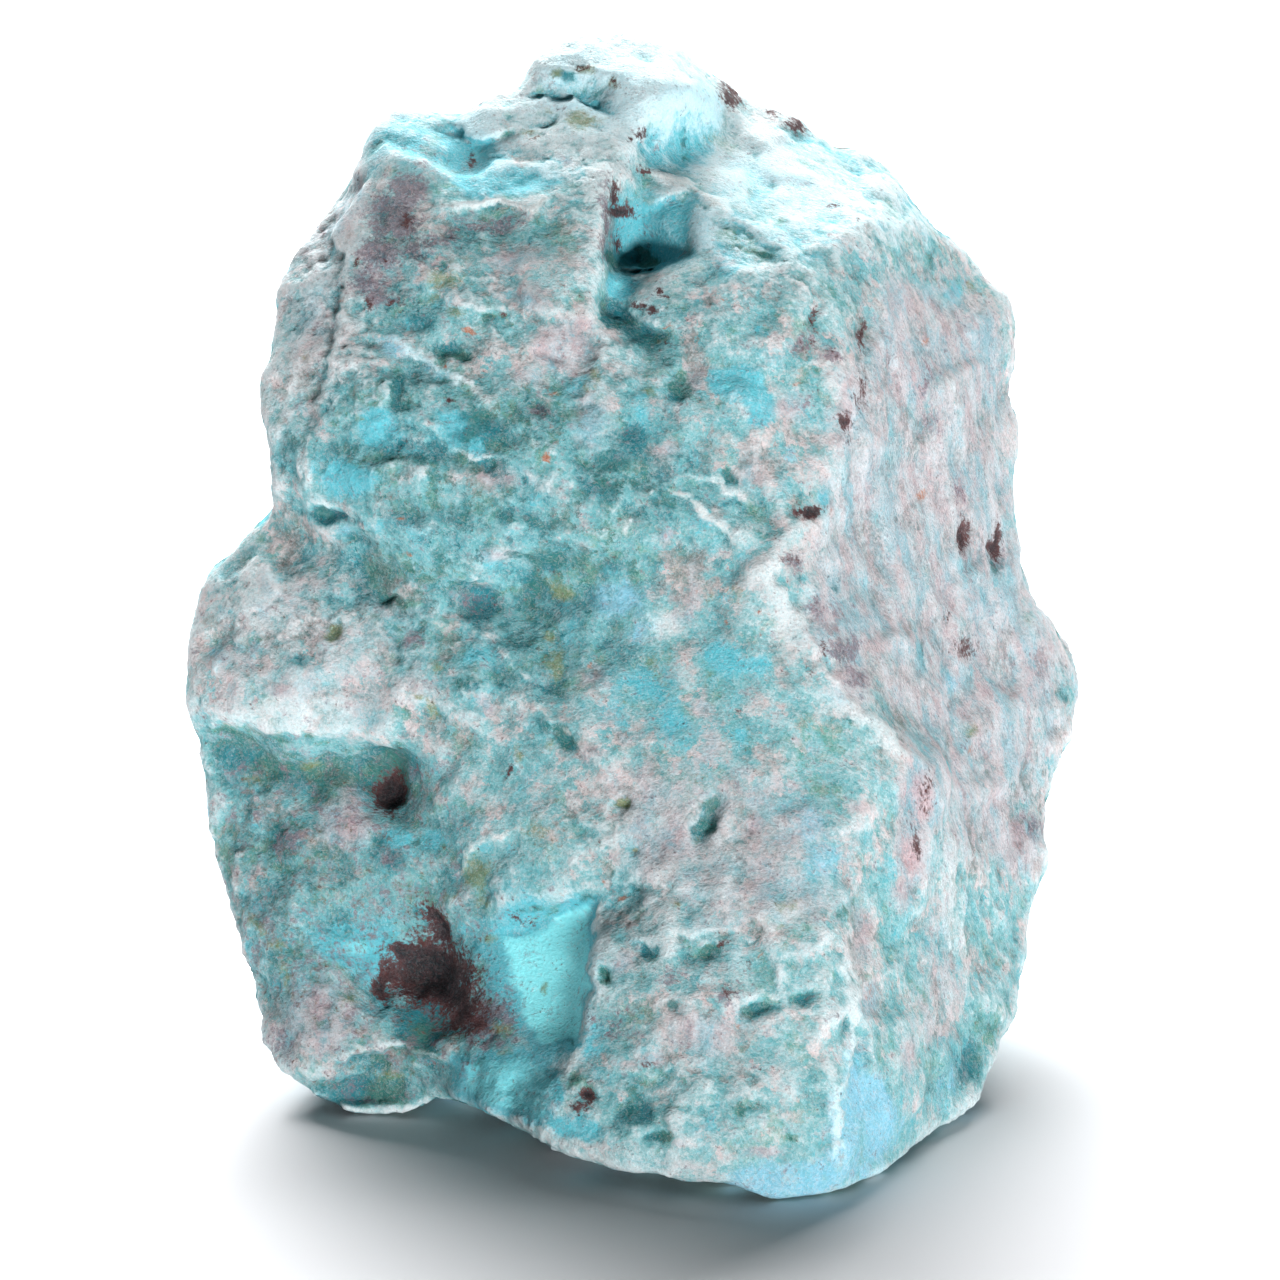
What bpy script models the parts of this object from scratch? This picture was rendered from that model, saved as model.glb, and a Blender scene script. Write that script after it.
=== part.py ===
"""A rough lump of chrysocolla, about 61 mm tall, standing on its flattest broken face.

The stone is one solid. Its broken faces meet in ridges and hollows, and those lines are what is modelled:
the lines are drawn on a plane that leans back a little, each corner with its relief towards the eye, and
the skin is stretched between them. The far side's corners are given straight in the stone's own frame.
Millimetres throughout, +Z up, +Y away from the drawn side. At the end the stone is moved so that the
origin is on the table under its middle, and scaled to metres.
"""

import math

import bmesh
import bpy
from mathutils import Vector, noise
from mathutils.geometry import delaunay_2d_cdt

MM = 0.001

# The drawing plane: how far it leans back, how high its centre is, and how far off the eye is.
PLANE_LEAN = math.radians(22.0)
PLANE_CENTRE_Z = 30.4
EYE_DISTANCE = 376.5

PLANE_UP = Vector((0, math.sin(PLANE_LEAN), math.cos(PLANE_LEAN)))
PLANE_NORMAL = Vector((0, -math.cos(PLANE_LEAN), math.sin(PLANE_LEAN)))
PLANE_CENTRE = Vector((0, 0, PLANE_CENTRE_Z))

# The rim where the drawn side turns away, clockwise from the crown: right, up, relief.
OUTLINE = [
    # crown and the far edge of the top
    (-7.7, 32.1, -8.5), (-6.6, 33.7, -9.0), (-5.2, 35.1, -9.5), (-3.0, 36.1, -10.0), (-0.5, 35.9, -10.5),
    (1.6, 35.1, -11.0), (3.9, 33.5, -12.0), (5.3, 32.4, -12.5), (7.3, 31.2, -13.0), (9.7, 30.4, -13.5),
    (12.2, 29.2, -14.0), (15.0, 27.7, -14.5), (16.0, 25.9, -14.5), (17.3, 24.4, -14.5),
    # right shoulder and side
    (19.0, 22.6, -15.0), (20.2, 21.3, -15.0), (22.0, 20.0, -15.5), (22.5, 18.5, -15.5), (22.2, 15.8, -16.0),
    (21.7, 14.7, -16.5), (22.5, 13.0, -17.0), (22.3, 10.0, -17.0), (22.1, 8.0, -17.0), (22.6, 4.0, -17.5),
    # right lobe and the hollow under it
    (23.3, 2.0, -18.0), (24.5, 0.2, -19.0), (25.7, -1.5, -20.0), (25.9, -3.2, -20.0), (25.0, -6.0, -19.5),
    (23.8, -9.5, -18.0), (24.0, -12.0, -17.5), (23.4, -15.5, -16.5), (22.9, -19.0, -15.0),
    # down to the table on the right
    (22.2, -22.5, -13.0), (21.0, -25.3, -11.3), (19.5, -27.4, -9.5), (18.2, -28.3, -8.0), (16.0, -30.0, -5.0),
    (14.5, -31.3, -2.5), (12.0, -32.4, -0.2),
    # the lower front edge
    (9.0, -32.9, 1.0), (6.5, -32.6, 1.2), (4.0, -31.8, 1.2), (0.5, -31.4, 0.8), (-3.0, -30.5, 0.0),
    (-6.0, -29.4, -1.2), (-7.0, -28.6, -2.0), (-9.3, -27.8, -4.0), (-10.6, -27.2, -6.0), (-11.6, -26.9, -8.0),
    # left foot
    (-13.3, -28.1, -9.0), (-16.7, -28.1, -9.2), (-19.2, -27.1, -9.5), (-21.6, -25.6, -10.5),
    (-22.6, -22.6, -11.5), (-23.0, -19.5, -12.0), (-24.4, -15.9, -12.5), (-25.2, -12.2, -12.5),
    (-25.5, -8.4, -12.0), (-26.0, -6.3, -11.5),
    # left lobe
    (-26.5, -3.8, -10.5), (-26.4, 0.0, -10.0), (-25.8, 3.3, -10.0), (-24.6, 5.2, -10.0), (-22.8, 6.7, -9.5),
    (-21.7, 7.6, -8.0),
    # left side of the upper block, up to the left knob
    (-21.6, 10.0, -7.0), (-22.0, 13.5, -6.5), (-21.6, 17.0, -6.5), (-21.3, 21.0, -7.0), (-20.5, 22.7, -7.5),
    (-19.0, 24.5, -8.0), (-17.4, 26.0, -8.0), (-16.4, 28.2, -8.0), (-15.3, 30.7, -8.5), (-13.8, 31.5, -9.0),
    (-12.2, 31.2, -9.0), (-10.9, 30.8, -8.5), (-9.3, 31.6, -8.0),
]

# Ridges, steps and hollows of the drawn side, each a line of corners: right, up, relief.
FRONT_LINES = {
    "crown brow": [
        (-7.0, 32.4, -7.6), (-5.4, 33.9, -7.3), (-3.8, 34.3, -7.5), (-2.0, 33.3, -6.8), (-0.5, 32.8, -6.2),
        (1.7, 32.6, -6.1), (3.2, 32.4, -7.4), (4.6, 31.7, -9.6),
    ],
    "saddle before the crown": [
        (-8.6, 31.2, -7.2), (-6.4, 31.5, -7.2), (-4.0, 31.7, -7.0), (-2.0, 31.0, -6.3), (-0.4, 30.3, -5.8),
        (0.1, 29.2, -5.8),
    ],
    "cliff foot": [(0.4, 28.3, -6.9), (2.4, 28.2, -7.9), (4.6, 29.2, -9.9), (5.8, 30.4, -11.6)],
    "plateau edge": [
        (0.0, 27.6, -6.0), (1.5, 27.1, -5.4), (3.2, 26.2, -4.6), (5.5, 25.0, -4.0), (7.5, 23.8, -3.4),
        (9.0, 22.9, -3.0), (11.0, 23.2, -3.8), (13.0, 24.2, -5.5), (15.0, 24.9, -8.0), (16.6, 24.4, -11.5),
    ],
    "plateau": [(6.0, 27.6, -7.6), (10.0, 26.6, -8.0), (12.0, 27.5, -11.0)],
    "notch back, upper edge": [(-1.3, 25.8, -5.0), (-0.2, 25.4, -5.8), (3.2, 25.4, -4.6)],
    "notch back, lower edge": [(-1.5, 22.2, -6.8), (0.5, 22.2, -6.6), (2.8, 22.7, -4.6)],
    "wedge, top": [(-1.8, 21.3, -4.6), (0.0, 21.5, -3.6), (2.4, 21.9, -2.9), (4.2, 22.3, -2.4)],
    "wedge, lip": [(-2.0, 20.7, -3.8), (-0.5, 20.2, -2.3), (1.5, 19.7, -1.4), (3.2, 19.3, -0.9)],
    "crack under the wedge": [(-2.1, 19.9, -4.6), (-0.8, 19.1, -3.4), (0.8, 18.4, -2.2), (2.2, 17.9, -1.2)],
    "bevel under the plateau": [(4.9, 21.2, -1.3), (7.4, 21.0, -1.3), (9.6, 20.9, -1.7)],
    "left block, side at the notch": [
        (0.1, 29.2, -5.8), (-1.2, 28.2, -4.6), (-2.2, 27.0, -3.2), (-2.4, 25.0, -2.4), (-2.4, 22.5, -2.0),
        (-2.6, 20.5, -1.8), (-2.7, 18.4, -1.5),
    ],
    "left block, top edge": [
        (-16.3, 26.9, -6.5), (-14.6, 28.1, -6.0), (-12.6, 28.2, -5.5), (-11.4, 26.8, -4.8), (-9.8, 25.9, -4.0),
        (-7.5, 25.8, -3.6), (-5.6, 25.8, -3.2), (-3.8, 26.5, -3.2), (-2.2, 27.0, -3.2),
    ],
    "left block, hollow in the top": [
        (-10.9, 29.4, -7.6), (-10.3, 27.6, -6.2), (-8.0, 28.2, -5.9), (-5.5, 28.8, -5.6), (-3.0, 29.0, -5.3),
    ],
    "left knob": [(-14.0, 30.2, -7.6), (-12.3, 30.0, -7.4)],
    "left block, left edge": [
        (-17.4, 24.2, -5.6), (-16.8, 22.0, -4.6), (-17.3, 19.0, -4.0), (-17.8, 16.0, -3.7), (-19.0, 13.0, -4.1),
        (-19.5, 10.0, -4.8), (-20.0, 7.9, -6.3),
    ],
    "upper front": [
        (-13.6, 23.0, -3.6), (-9.0, 21.5, -2.3), (-5.0, 19.0, -1.4), (-10.0, 15.0, -1.7), (-14.0, 12.0, -2.3),
    ],
    "upper front, low": [(-5.5, 11.5, -0.7), (0.0, 13.0, -0.6), (5.0, 15.0, -0.4), (8.3, 18.0, -0.8)],
    "ledge": [
        (-19.0, 7.5, -5.2), (-16.0, 7.2, -3.8), (-12.5, 6.3, -2.9), (-9.0, 5.9, -2.1), (-5.5, 6.2, -1.3),
        (-2.0, 6.4, -0.6), (0.5, 5.9, -0.3), (3.0, 6.6, -0.1), (5.0, 6.8, 0.0), (6.5, 5.6, 0.1), (7.8, 4.0, 0.1),
    ],
    "under the ledge": [
        (-12.0, 4.3, -4.1), (-8.5, 4.4, -3.5), (-5.0, 4.9, -2.7), (-2.0, 5.0, -1.9), (0.5, 4.8, -1.3),
        (3.0, 5.1, -1.0), (5.0, 5.1, -0.7),
    ],
    "main edge": [
        (10.4, 21.0, -2.3), (11.3, 18.5, -1.9), (12.0, 15.0, -1.9), (12.0, 11.5, -1.7), (11.0, 8.5, -1.3),
        (9.9, 5.5, -0.9), (9.8, 3.0, -0.6), (10.6, 0.5, -0.5), (11.6, -1.8, -0.5), (13.0, -3.7, -0.9),
        (14.8, -5.7, -1.6), (16.4, -7.3, -2.6), (17.5, -9.2, -3.6), (17.5, -11.2, -4.0), (16.8, -13.5, -3.8),
        (15.4, -16.0, -3.2), (15.3, -20.0, -2.6), (15.6, -24.0, -2.4), (15.8, -27.5, -2.9),
    ],
    "lower block, right edge": [
        (9.0, -15.0, 1.2), (10.9, -16.6, 1.4), (11.1, -19.0, 1.8), (11.2, -22.0, 2.0), (11.5, -26.0, 2.1),
        (11.8, -30.0, 1.5),
    ],
    "right side, near": [(14.5, 20.5, -6.0), (16.0, 14.0, -7.5), (15.5, 8.0, -7.5), (15.0, 2.0, -6.5)],
    "right side, far": [
        (18.5, 18.0, -11.0), (19.0, 10.5, -12.0), (20.6, 5.5, -14.0), (19.5, -1.0, -13.0), (18.2, -5.5, -9.5),
        (20.5, -9.0, -12.5), (20.8, -14.0, -12.5), (19.3, -18.5, -9.6), (18.6, -24.0, -8.0),
    ],
    "right lobe": [(22.6, 1.5, -16.5), (24.0, -1.5, -17.8), (24.2, -4.0, -17.8), (23.0, -7.5, -16.5)],
    "smooth front, upper": [(-2.0, 2.8, -2.5), (0.5, -0.5, -1.6), (3.5, -2.0, -0.9), (6.5, 0.5, -0.5)],
    "smooth front, lower": [(1.0, -9.0, -0.6), (5.0, -7.0, 0.0), (9.0, -5.0, 0.0), (12.8, -8.5, -0.3)],
    "smooth front, foot": [(0.5, -13.5, -0.6), (5.0, -12.5, 0.5), (9.5, -11.5, 0.7), (13.0, -13.0, 0.1)],
    "white rib": [
        (-12.5, 0.6, -5.0), (-9.3, 0.2, -4.1), (-7.6, -1.0, -3.5), (-6.5, -3.0, -3.0), (-5.0, -4.8, -2.5),
        (-3.0, -6.4, -1.9), (-1.0, -8.0, -1.2),
    ],
    "hollow above the rib": [(-9.0, 2.6, -4.9), (-6.3, 2.2, -4.6), (-4.4, -0.4, -3.5)],
    "left lobe, crest": [(-20.5, 6.3, -8.0), (-17.5, 4.9, -6.4), (-14.8, 3.2, -5.7)],
    "left lobe": [(-23.4, 3.0, -8.2), (-20.0, 0.8, -6.7), (-16.0, -0.6, -6.0)],
    "left lobe, belly": [(-24.4, -1.4, -8.6), (-20.3, -3.0, -6.7), (-16.2, -3.2, -6.1), (-12.0, -2.8, -5.0)],
    "left lobe, lip": [
        (-25.2, -4.0, -9.4), (-23.0, -4.4, -8.2), (-21.0, -5.6, -7.6), (-18.5, -5.7, -7.2), (-16.3, -5.4, -6.8),
        (-14.0, -5.7, -6.2), (-12.3, -6.3, -5.5),
    ],
    "recess under the lip": [
        (-24.7, -5.9, -11.0), (-22.3, -6.8, -10.6), (-20.0, -7.5, -10.2), (-17.3, -7.3, -9.6), (-15.2, -7.2, -9.3),
        (-13.6, -7.4, -7.8),
    ],
    "recess, pit": [(-15.6, -8.8, -10.2), (-14.4, -9.6, -10.2)],
    "recess, sill": [(-23.0, -10.2, -10.8), (-20.0, -11.2, -9.4), (-16.6, -11.2, -8.0), (-13.0, -10.8, -7.2), (-11.0, -8.6, -5.4)],
    "left flank": [(-23.4, -13.4, -11.2), (-20.0, -14.8, -9.2), (-16.5, -14.4, -8.4), (-13.6, -13.2, -7.4)],
    "left flank, rib": [
        (-23.6, -15.9, -11.7), (-22.0, -18.3, -10.4), (-20.6, -21.0, -9.5), (-19.4, -23.4, -8.9),
    ],
    "cavity, upper rim": [(-18.0, -17.2, -9.4), (-15.6, -17.0, -8.8), (-13.4, -15.4, -7.6), (-11.4, -15.2, -6.4)],
    "cavity": [(-15.3, -19.8, -9.3), (-13.2, -19.4, -9.8), (-11.7, -17.8, -8.4)],
    "cavity, lower rim": [(-17.6, -21.6, -8.2), (-15.2, -22.4, -8.0), (-12.4, -22.2, -8.2), (-10.0, -21.8, -6.6)],
    "foot brow": [(-19.6, -25.4, -9.2), (-17.0, -25.0, -8.2), (-15.0, -24.2, -7.7), (-13.0, -24.6, -7.3), (-11.0, -25.2, -6.2)],
    "foot, underside": [(-18.2, -26.1, -9.8), (-15.3, -26.1, -9.8), (-13.0, -26.4, -9.5)],
    "olive face": [(-9.6, -11.6, -4.5), (-5.5, -9.2, -2.7), (-5.0, -12.4, -2.6)],
    "step over the blue face": [(-9.6, -14.2, -5.4), (-8.0, -15.3, -4.0), (-5.5, -15.1, -3.0), (-3.2, -15.0, -2.2), (-1.3, -14.9, -1.6)],
    "blue face, top": [(-8.2, -16.5, -5.3), (-5.6, -16.2, -4.5), (-3.2, -16.2, -3.6)],
    "blue face": [(-8.2, -20.0, -5.2), (-3.7, -19.8, -3.3), (-4.0, -22.6, -3.0), (-7.6, -23.6, -4.5)],
    "blue face, foot": [(-9.0, -26.0, -4.8), (-6.8, -26.0, -3.0)],
    "lower block, left edge": [
        (-1.3, -14.9, -1.6), (-2.0, -17.0, -0.9), (-2.5, -19.5, -0.5), (-2.8, -22.0, -0.4), (-3.8, -24.6, -0.5),
        (-5.6, -26.8, -0.9), (-6.2, -28.2, -1.3),
    ],
    "lower block, top": [(1.0, -17.3, 0.4), (4.0, -17.0, 0.9), (6.5, -16.0, 1.2), (9.0, -15.0, 1.2)],
    "lower block": [(1.5, -21.5, 1.3), (6.5, -21.5, 2.0), (7.0, -27.0, 2.3), (1.5, -26.5, 1.6), (-2.5, -26.6, 0.4)],
    "lower block, foot": [(6.5, -30.8, 1.9), (0.5, -29.8, 1.3)],
}

# The far side and the underside, in the stone's own frame: x, y, z.
BACK_LINES = {
    "behind the crown": [
        (-13.0, 24.5, 54.5), (-8.5, 24.5, 55.3), (-3.5, 27.0, 58.3), (2.0, 28.0, 57.2), (5.0, 27.5, 54.8),
        (9.5, 28.0, 51.8), (15.0, 28.0, 48.6), (20.0, 26.5, 43.5),
    ],
    "behind the right side": [
        (20.0, 26.5, 43.5), (21.6, 26.0, 38.0), (21.8, 24.0, 31.5), (23.0, 22.5, 25.5), (25.4, 22.5, 21.0),
        (24.0, 20.0, 15.0), (23.2, 15.0, 10.0), (21.0, 9.5, 4.5),
    ],
    "behind the left side": [
        (-13.0, 24.5, 54.5), (-17.5, 22.5, 50.5), (-20.3, 19.5, 46.5), (-21.2, 17.0, 42.0), (-21.0, 15.0, 37.0),
        (-21.6, 16.5, 33.0), (-25.6, 15.0, 27.5), (-25.8, 13.5, 22.0), (-24.8, 12.5, 15.0), (-23.3, 9.5, 9.0),
        (-20.8, 5.0, 3.5),
    ],
    "upper back": [
        (-17.0, 25.5, 45.0), (-9.0, 28.5, 49.5), (0.5, 30.5, 50.5), (8.0, 31.0, 44.5), (16.0, 29.5, 40.0),
    ],
    "back, step": [
        (-19.0, 22.0, 38.0), (-12.0, 28.0, 38.5), (-3.0, 31.5, 40.0), (5.0, 32.0, 36.5), (13.0, 31.0, 32.0),
        (19.0, 27.5, 28.5),
    ],
    "back, under the step": [
        (-17.5, 24.0, 35.0), (-10.0, 27.0, 35.0), (-2.0, 28.5, 36.0), (5.0, 29.0, 32.5), (12.5, 28.0, 28.5),
    ],
    "middle back": [
        (-22.0, 20.0, 28.0), (-15.0, 26.5, 25.5), (-5.0, 29.0, 24.0), (6.0, 30.5, 21.5), (16.0, 27.0, 18.5),
    ],
    "lower back": [
        (-20.5, 16.5, 14.0), (-12.0, 24.0, 13.0), (-1.0, 27.5, 13.5), (9.0, 27.0, 10.0), (18.0, 20.5, 8.0),
    ],
    "back foot": [
        (-17.0, 11.5, 2.8), (-8.5, 19.5, 2.2), (3.0, 22.5, 2.5), (12.5, 19.0, 2.0), (17.0, 11.0, 1.8),
    ],
    "base": [
        (-14.5, 3.5, -0.6), (-14.5, 9.5, -0.6), (-7.5, 16.0, -0.6), (3.0, 18.5, -0.6), (11.0, 15.5, -0.6),
        (14.5, 9.0, -0.6), (15.0, 1.0, -0.6), (12.0, -6.5, -0.6), (8.5, -9.5, -0.6), (3.0, -6.5, -0.6),
        (-3.5, -2.5, -0.6), (-8.5, 3.0, -0.6), (-14.5, 3.5, -0.6),
    ],
}

# Faces that broke smooth: middle on the drawing, reach, and how much of the roughness they keep.
CALM_FACES = [((0.8, 24.0), 3.5, 0.1), ((-5.6, -20.0), 5.0, 0.15), ((5.0, -4.0), 11.0, 0.5)]

VOXEL = 0.6  # the skin is rebuilt on cells of this size before it is roughened
SOFTENING_PASSES = 2
# Broken-rock relief: cell size, tilt and step of the chips, in millimetres.
CHIPS = [(6.0, 0.06, 0.14), (2.8, 0.07, 0.06)]
SWELL_SIZE = 5.0
OUTWARD = 0.22  # makes up for what the softening takes off
SWELL_HEIGHT = 0.25
TRIANGLES = 9600
BASE_Z = 0.0


def drawn(right, up, relief):
    """The place in the stone's frame of a corner on the drawing."""
    spread = (EYE_DISTANCE - relief) / EYE_DISTANCE
    return PLANE_CENTRE + Vector((right * spread, 0, 0)) + PLANE_UP * up * spread + PLANE_NORMAL * relief


def on_drawing(place):
    """Where a place in the stone's frame falls on the drawing."""
    offset = place - PLANE_CENTRE
    spread = (EYE_DISTANCE - offset.dot(PLANE_NORMAL)) / EYE_DISTANCE
    return Vector((offset.x / spread, offset.dot(PLANE_UP) / spread))


def stretched_skin(outline, lines):
    """Triangles between the outline and the lines, all in places of the stone's frame."""
    places = []
    numbers = {}

    def number_of(place):
        key = tuple(round(value, 4) for value in place)
        if key not in numbers:
            numbers[key] = len(places)
            places.append(place)
        return numbers[key]

    rim = [number_of(place) for place in outline]
    edges = []
    for line in lines:
        chain = [number_of(place) for place in line]
        edges += list(zip(chain, chain[1:]))
    flat = [on_drawing(place) for place in places]
    inside = 1  # keeps the triangles that lie inside the rim
    found = delaunay_2d_cdt(flat, edges, [rim], inside, 1e-5)
    if len(found[0]) != len(places):
        raise ValueError(f"two lines cross: {len(found[0])} corners, not {len(places)}")
    order = [sources[0] for sources in found[3]]
    return places, [[order[corner] for corner in face] for face in found[2]]


def cage():
    """The closed skin through every corner, as a bmesh in millimetres."""
    rim = [drawn(*corner) for corner in OUTLINE]
    front_lines = [[drawn(*corner) for corner in line] for line in FRONT_LINES.values()]
    back_lines = [[Vector(corner) for corner in line] for line in BACK_LINES.values()]
    mesh = bmesh.new()
    for lines in (front_lines, back_lines):
        places, faces = stretched_skin(rim, lines)
        corners = [mesh.verts.new(place) for place in places]
        for face in faces:
            mesh.faces.new([corners[number] for number in face])
    bmesh.ops.remove_doubles(mesh, verts=mesh.verts, dist=1e-3)
    bmesh.ops.recalc_face_normals(mesh, faces=mesh.faces)
    return mesh


def chip(place, cell, tilt, step):
    """Height of a broken flake: each cell of the rock has its own tilt and its own step."""
    centre = noise.voronoi(place / cell)[1][0]
    lean = noise.cell_vector(centre * 7.31) * 2 - Vector((1, 1, 1))
    rise = noise.cell(centre * 3.17 + Vector((5.2, 1.3, 8.8)))
    return tilt * lean.dot(place - centre * cell) + step * (rise - 0.5)


def calm(corner):
    """Share of the roughness a corner keeps; the smooth faces keep little."""
    share = 1.0
    if corner.normal.dot(PLANE_NORMAL) > 0:
        spot = on_drawing(corner.co)
        for middle, reach, kept in CALM_FACES:
            near = max(0.0, 1.0 - (spot - Vector(middle)).length / reach)
            share = min(share, 1.0 - (1.0 - kept) * min(1.0, 2.0 * near))
    return share


def roughened(mesh):
    """Pushes each corner out or in by the flakes and the swell of the broken surface."""
    mesh.normal_update()
    heights = []
    for corner in mesh.verts:
        height = SWELL_HEIGHT * noise.fractal(corner.co / SWELL_SIZE, 1.0, 2.1, 3)
        for cell, tilt, step in CHIPS:
            height += chip(corner.co, cell, tilt, step)
        heights.append(corner.normal * (OUTWARD + height * calm(corner)))
    for corner, push in zip(mesh.verts, heights):
        corner.co += push


def finished(source, make_modifiers):
    """A copy of the bmesh after the modifiers."""
    data = bpy.data.meshes.new("working")
    source.to_mesh(data)
    source.free()
    worked = bpy.data.objects.new("working", data)
    bpy.context.scene.collection.objects.link(worked)
    make_modifiers(worked)
    graph = bpy.context.evaluated_depsgraph_get()
    mesh = bmesh.new()
    mesh.from_mesh(worked.evaluated_get(graph).to_mesh())
    bpy.data.objects.remove(worked)
    bpy.data.meshes.remove(data)
    return mesh


def rebuild_evenly(worked):
    remesh = worked.modifiers.new("even skin", "REMESH")
    remesh.mode = "VOXEL"
    remesh.voxel_size = VOXEL
    smooth = worked.modifiers.new("soften", "SMOOTH")
    smooth.factor = 0.5
    smooth.iterations = SOFTENING_PASSES


def thin_out(worked):
    faces = sum(len(face.vertices) - 2 for face in worked.data.polygons)
    decimate = worked.modifiers.new("thin out", "DECIMATE")
    decimate.ratio = TRIANGLES / faces


def flat_base(mesh):
    """Cuts the stone off level where it rests, in one flat face."""
    everything = mesh.verts[:] + mesh.edges[:] + mesh.faces[:]
    bmesh.ops.bisect_plane(
        mesh, geom=everything, plane_co=(0, 0, BASE_Z), plane_no=(0, 0, -1), clear_outer=True
    )
    rim = [edge for edge in mesh.edges if edge.is_boundary]
    bmesh.ops.holes_fill(mesh, edges=rim, sides=0)
    bmesh.ops.dissolve_degenerate(mesh, edges=mesh.edges, dist=1e-3)
    bmesh.ops.triangulate(mesh, faces=mesh.faces)


def centred(mesh):
    """Moves the stone so that the middle of its extent stands over the origin."""
    sides = [corner.co.x for corner in mesh.verts]
    depths = [corner.co.y for corner in mesh.verts]
    middle = Vector((min(sides) + max(sides), min(depths) + max(depths), 0)) / 2
    bmesh.ops.translate(mesh, vec=-middle, verts=mesh.verts)


def stone_material():
    material = bpy.data.materials.new("chrysocolla")
    material.use_nodes = True
    shader = material.node_tree.nodes["Principled BSDF"]
    shader.inputs["Base Color"].default_value = (0.27, 0.56, 0.59, 1)
    shader.inputs["Roughness"].default_value = 0.62
    shader.inputs["Metallic"].default_value = 0.0
    return material


def build():
    for old in list(bpy.data.objects):
        bpy.data.objects.remove(old)
    mesh = finished(cage(), rebuild_evenly)
    roughened(mesh)
    mesh = finished(mesh, thin_out)
    flat_base(mesh)
    centred(mesh)
    bmesh.ops.scale(mesh, vec=(MM, MM, MM), verts=mesh.verts)
    data = bpy.data.meshes.new("chrysocolla")
    mesh.to_mesh(data)
    mesh.free()
    data.materials.append(stone_material())
    stone = bpy.data.objects.new("chrysocolla", data)
    bpy.context.scene.collection.objects.link(stone)
    return stone


build()
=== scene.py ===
"""Raw chrysocolla: the broken skin of one lump of stone, its minerals, and the pale table under it."""

import math

import bmesh
import bpy
import numpy as np
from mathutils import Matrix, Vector, noise


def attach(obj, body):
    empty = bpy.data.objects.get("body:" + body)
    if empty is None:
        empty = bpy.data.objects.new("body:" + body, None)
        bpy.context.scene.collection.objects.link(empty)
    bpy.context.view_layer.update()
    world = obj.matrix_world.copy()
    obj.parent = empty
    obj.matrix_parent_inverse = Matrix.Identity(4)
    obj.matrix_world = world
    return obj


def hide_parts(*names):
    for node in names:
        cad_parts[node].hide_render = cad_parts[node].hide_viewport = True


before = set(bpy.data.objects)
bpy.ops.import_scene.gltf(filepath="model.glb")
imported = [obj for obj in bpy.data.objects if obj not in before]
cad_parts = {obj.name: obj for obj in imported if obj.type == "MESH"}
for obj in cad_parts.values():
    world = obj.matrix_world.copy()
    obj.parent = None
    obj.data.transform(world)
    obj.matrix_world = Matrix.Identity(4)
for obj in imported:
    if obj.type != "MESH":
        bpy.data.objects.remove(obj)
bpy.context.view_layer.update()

MM = 0.001

# The drawing plane leans back as the stone's front does. Marks on the front are given on it as right and up,
# in millimetres from its centre, and the eye looks at it square from this far.
LEAN = math.radians(22)
CENTRE = Vector((-0.08, -9.39, 30.4))
EYE_DISTANCE = 376.5
RIGHT = Vector((1, 0, 0))
UP = Vector((0, math.sin(LEAN), math.cos(LEAN)))
TOWARDS_EYE = Vector((0, -math.cos(LEAN), math.sin(LEAN)))

# The copper minerals lie in beds that stand almost parallel to the front.
BED_NORMAL = Vector((-0.19, -0.98, 0.0)).normalized()

# The skin: the size of its cells in millimetres, the rounds that soften the solid's facets before the break
# is worked, and the share of its faces that is kept afterwards.
SKIN_CELL = 0.26
FACET_SOFTENING = 4
FACES_KEPT = 0.52

# How high each kind of relief of the break stands, in millimetres.
RELIEF = {"Swell": 0.3, "Scallops": 0.15, "Ledges": 0.16, "Chips": 0.1, "Grain": 0.07, "Pits": 0.18}
VEIN_HEIGHT = 0.2

# The rims of the marks wander to and fro: the seed, the cells of the wide and of the narrow wander, and how
# far each of the two takes the rim of a mark and the line of a step.
WANDER_SEED = 21
WIDE_WANDER = 1.3
NARROW_WANDER = 0.45
MARK_WANDER = (0.4, 0.2)
STEP_WANDER = (0.45, 0.15)

# A step dies out over this far at its ends, falls over this far, and has a lip this share of its depth.
STEP_END = 1.6
STEP_RIM = 0.35
LIP_SHARE = 0.12

# The break's edge and brow are how proud a place stands of the skin blurred by these many rounds.
BLUR_ROUNDS = {"edge": 8, "brow": 60}

# The front's marks begin on faces that turn this far to the eye, and are whole at the second number. The base
# is smooth on faces that turn down between these two, under this height in millimetres.
FRONT_BEGINS = (-0.05, 0.2)
BASE_BEGINS = (0.7, 0.9)
BASE_TOP = 1.2

# Lamps: name, place, width, height, power. Both point at the middle of the stone.
LAMPS = [
    ("window behind and above", (-0.06, 0.44, 0.50), 0.85, 0.2, 15.5),
    ("fill from the front", (0.4, -0.84, 0.022), 0.5, 0.04, 10.4),
]
LAMP_AIM = (0, 0, 0.03)
ROOM_LIGHT = 0.03


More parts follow.
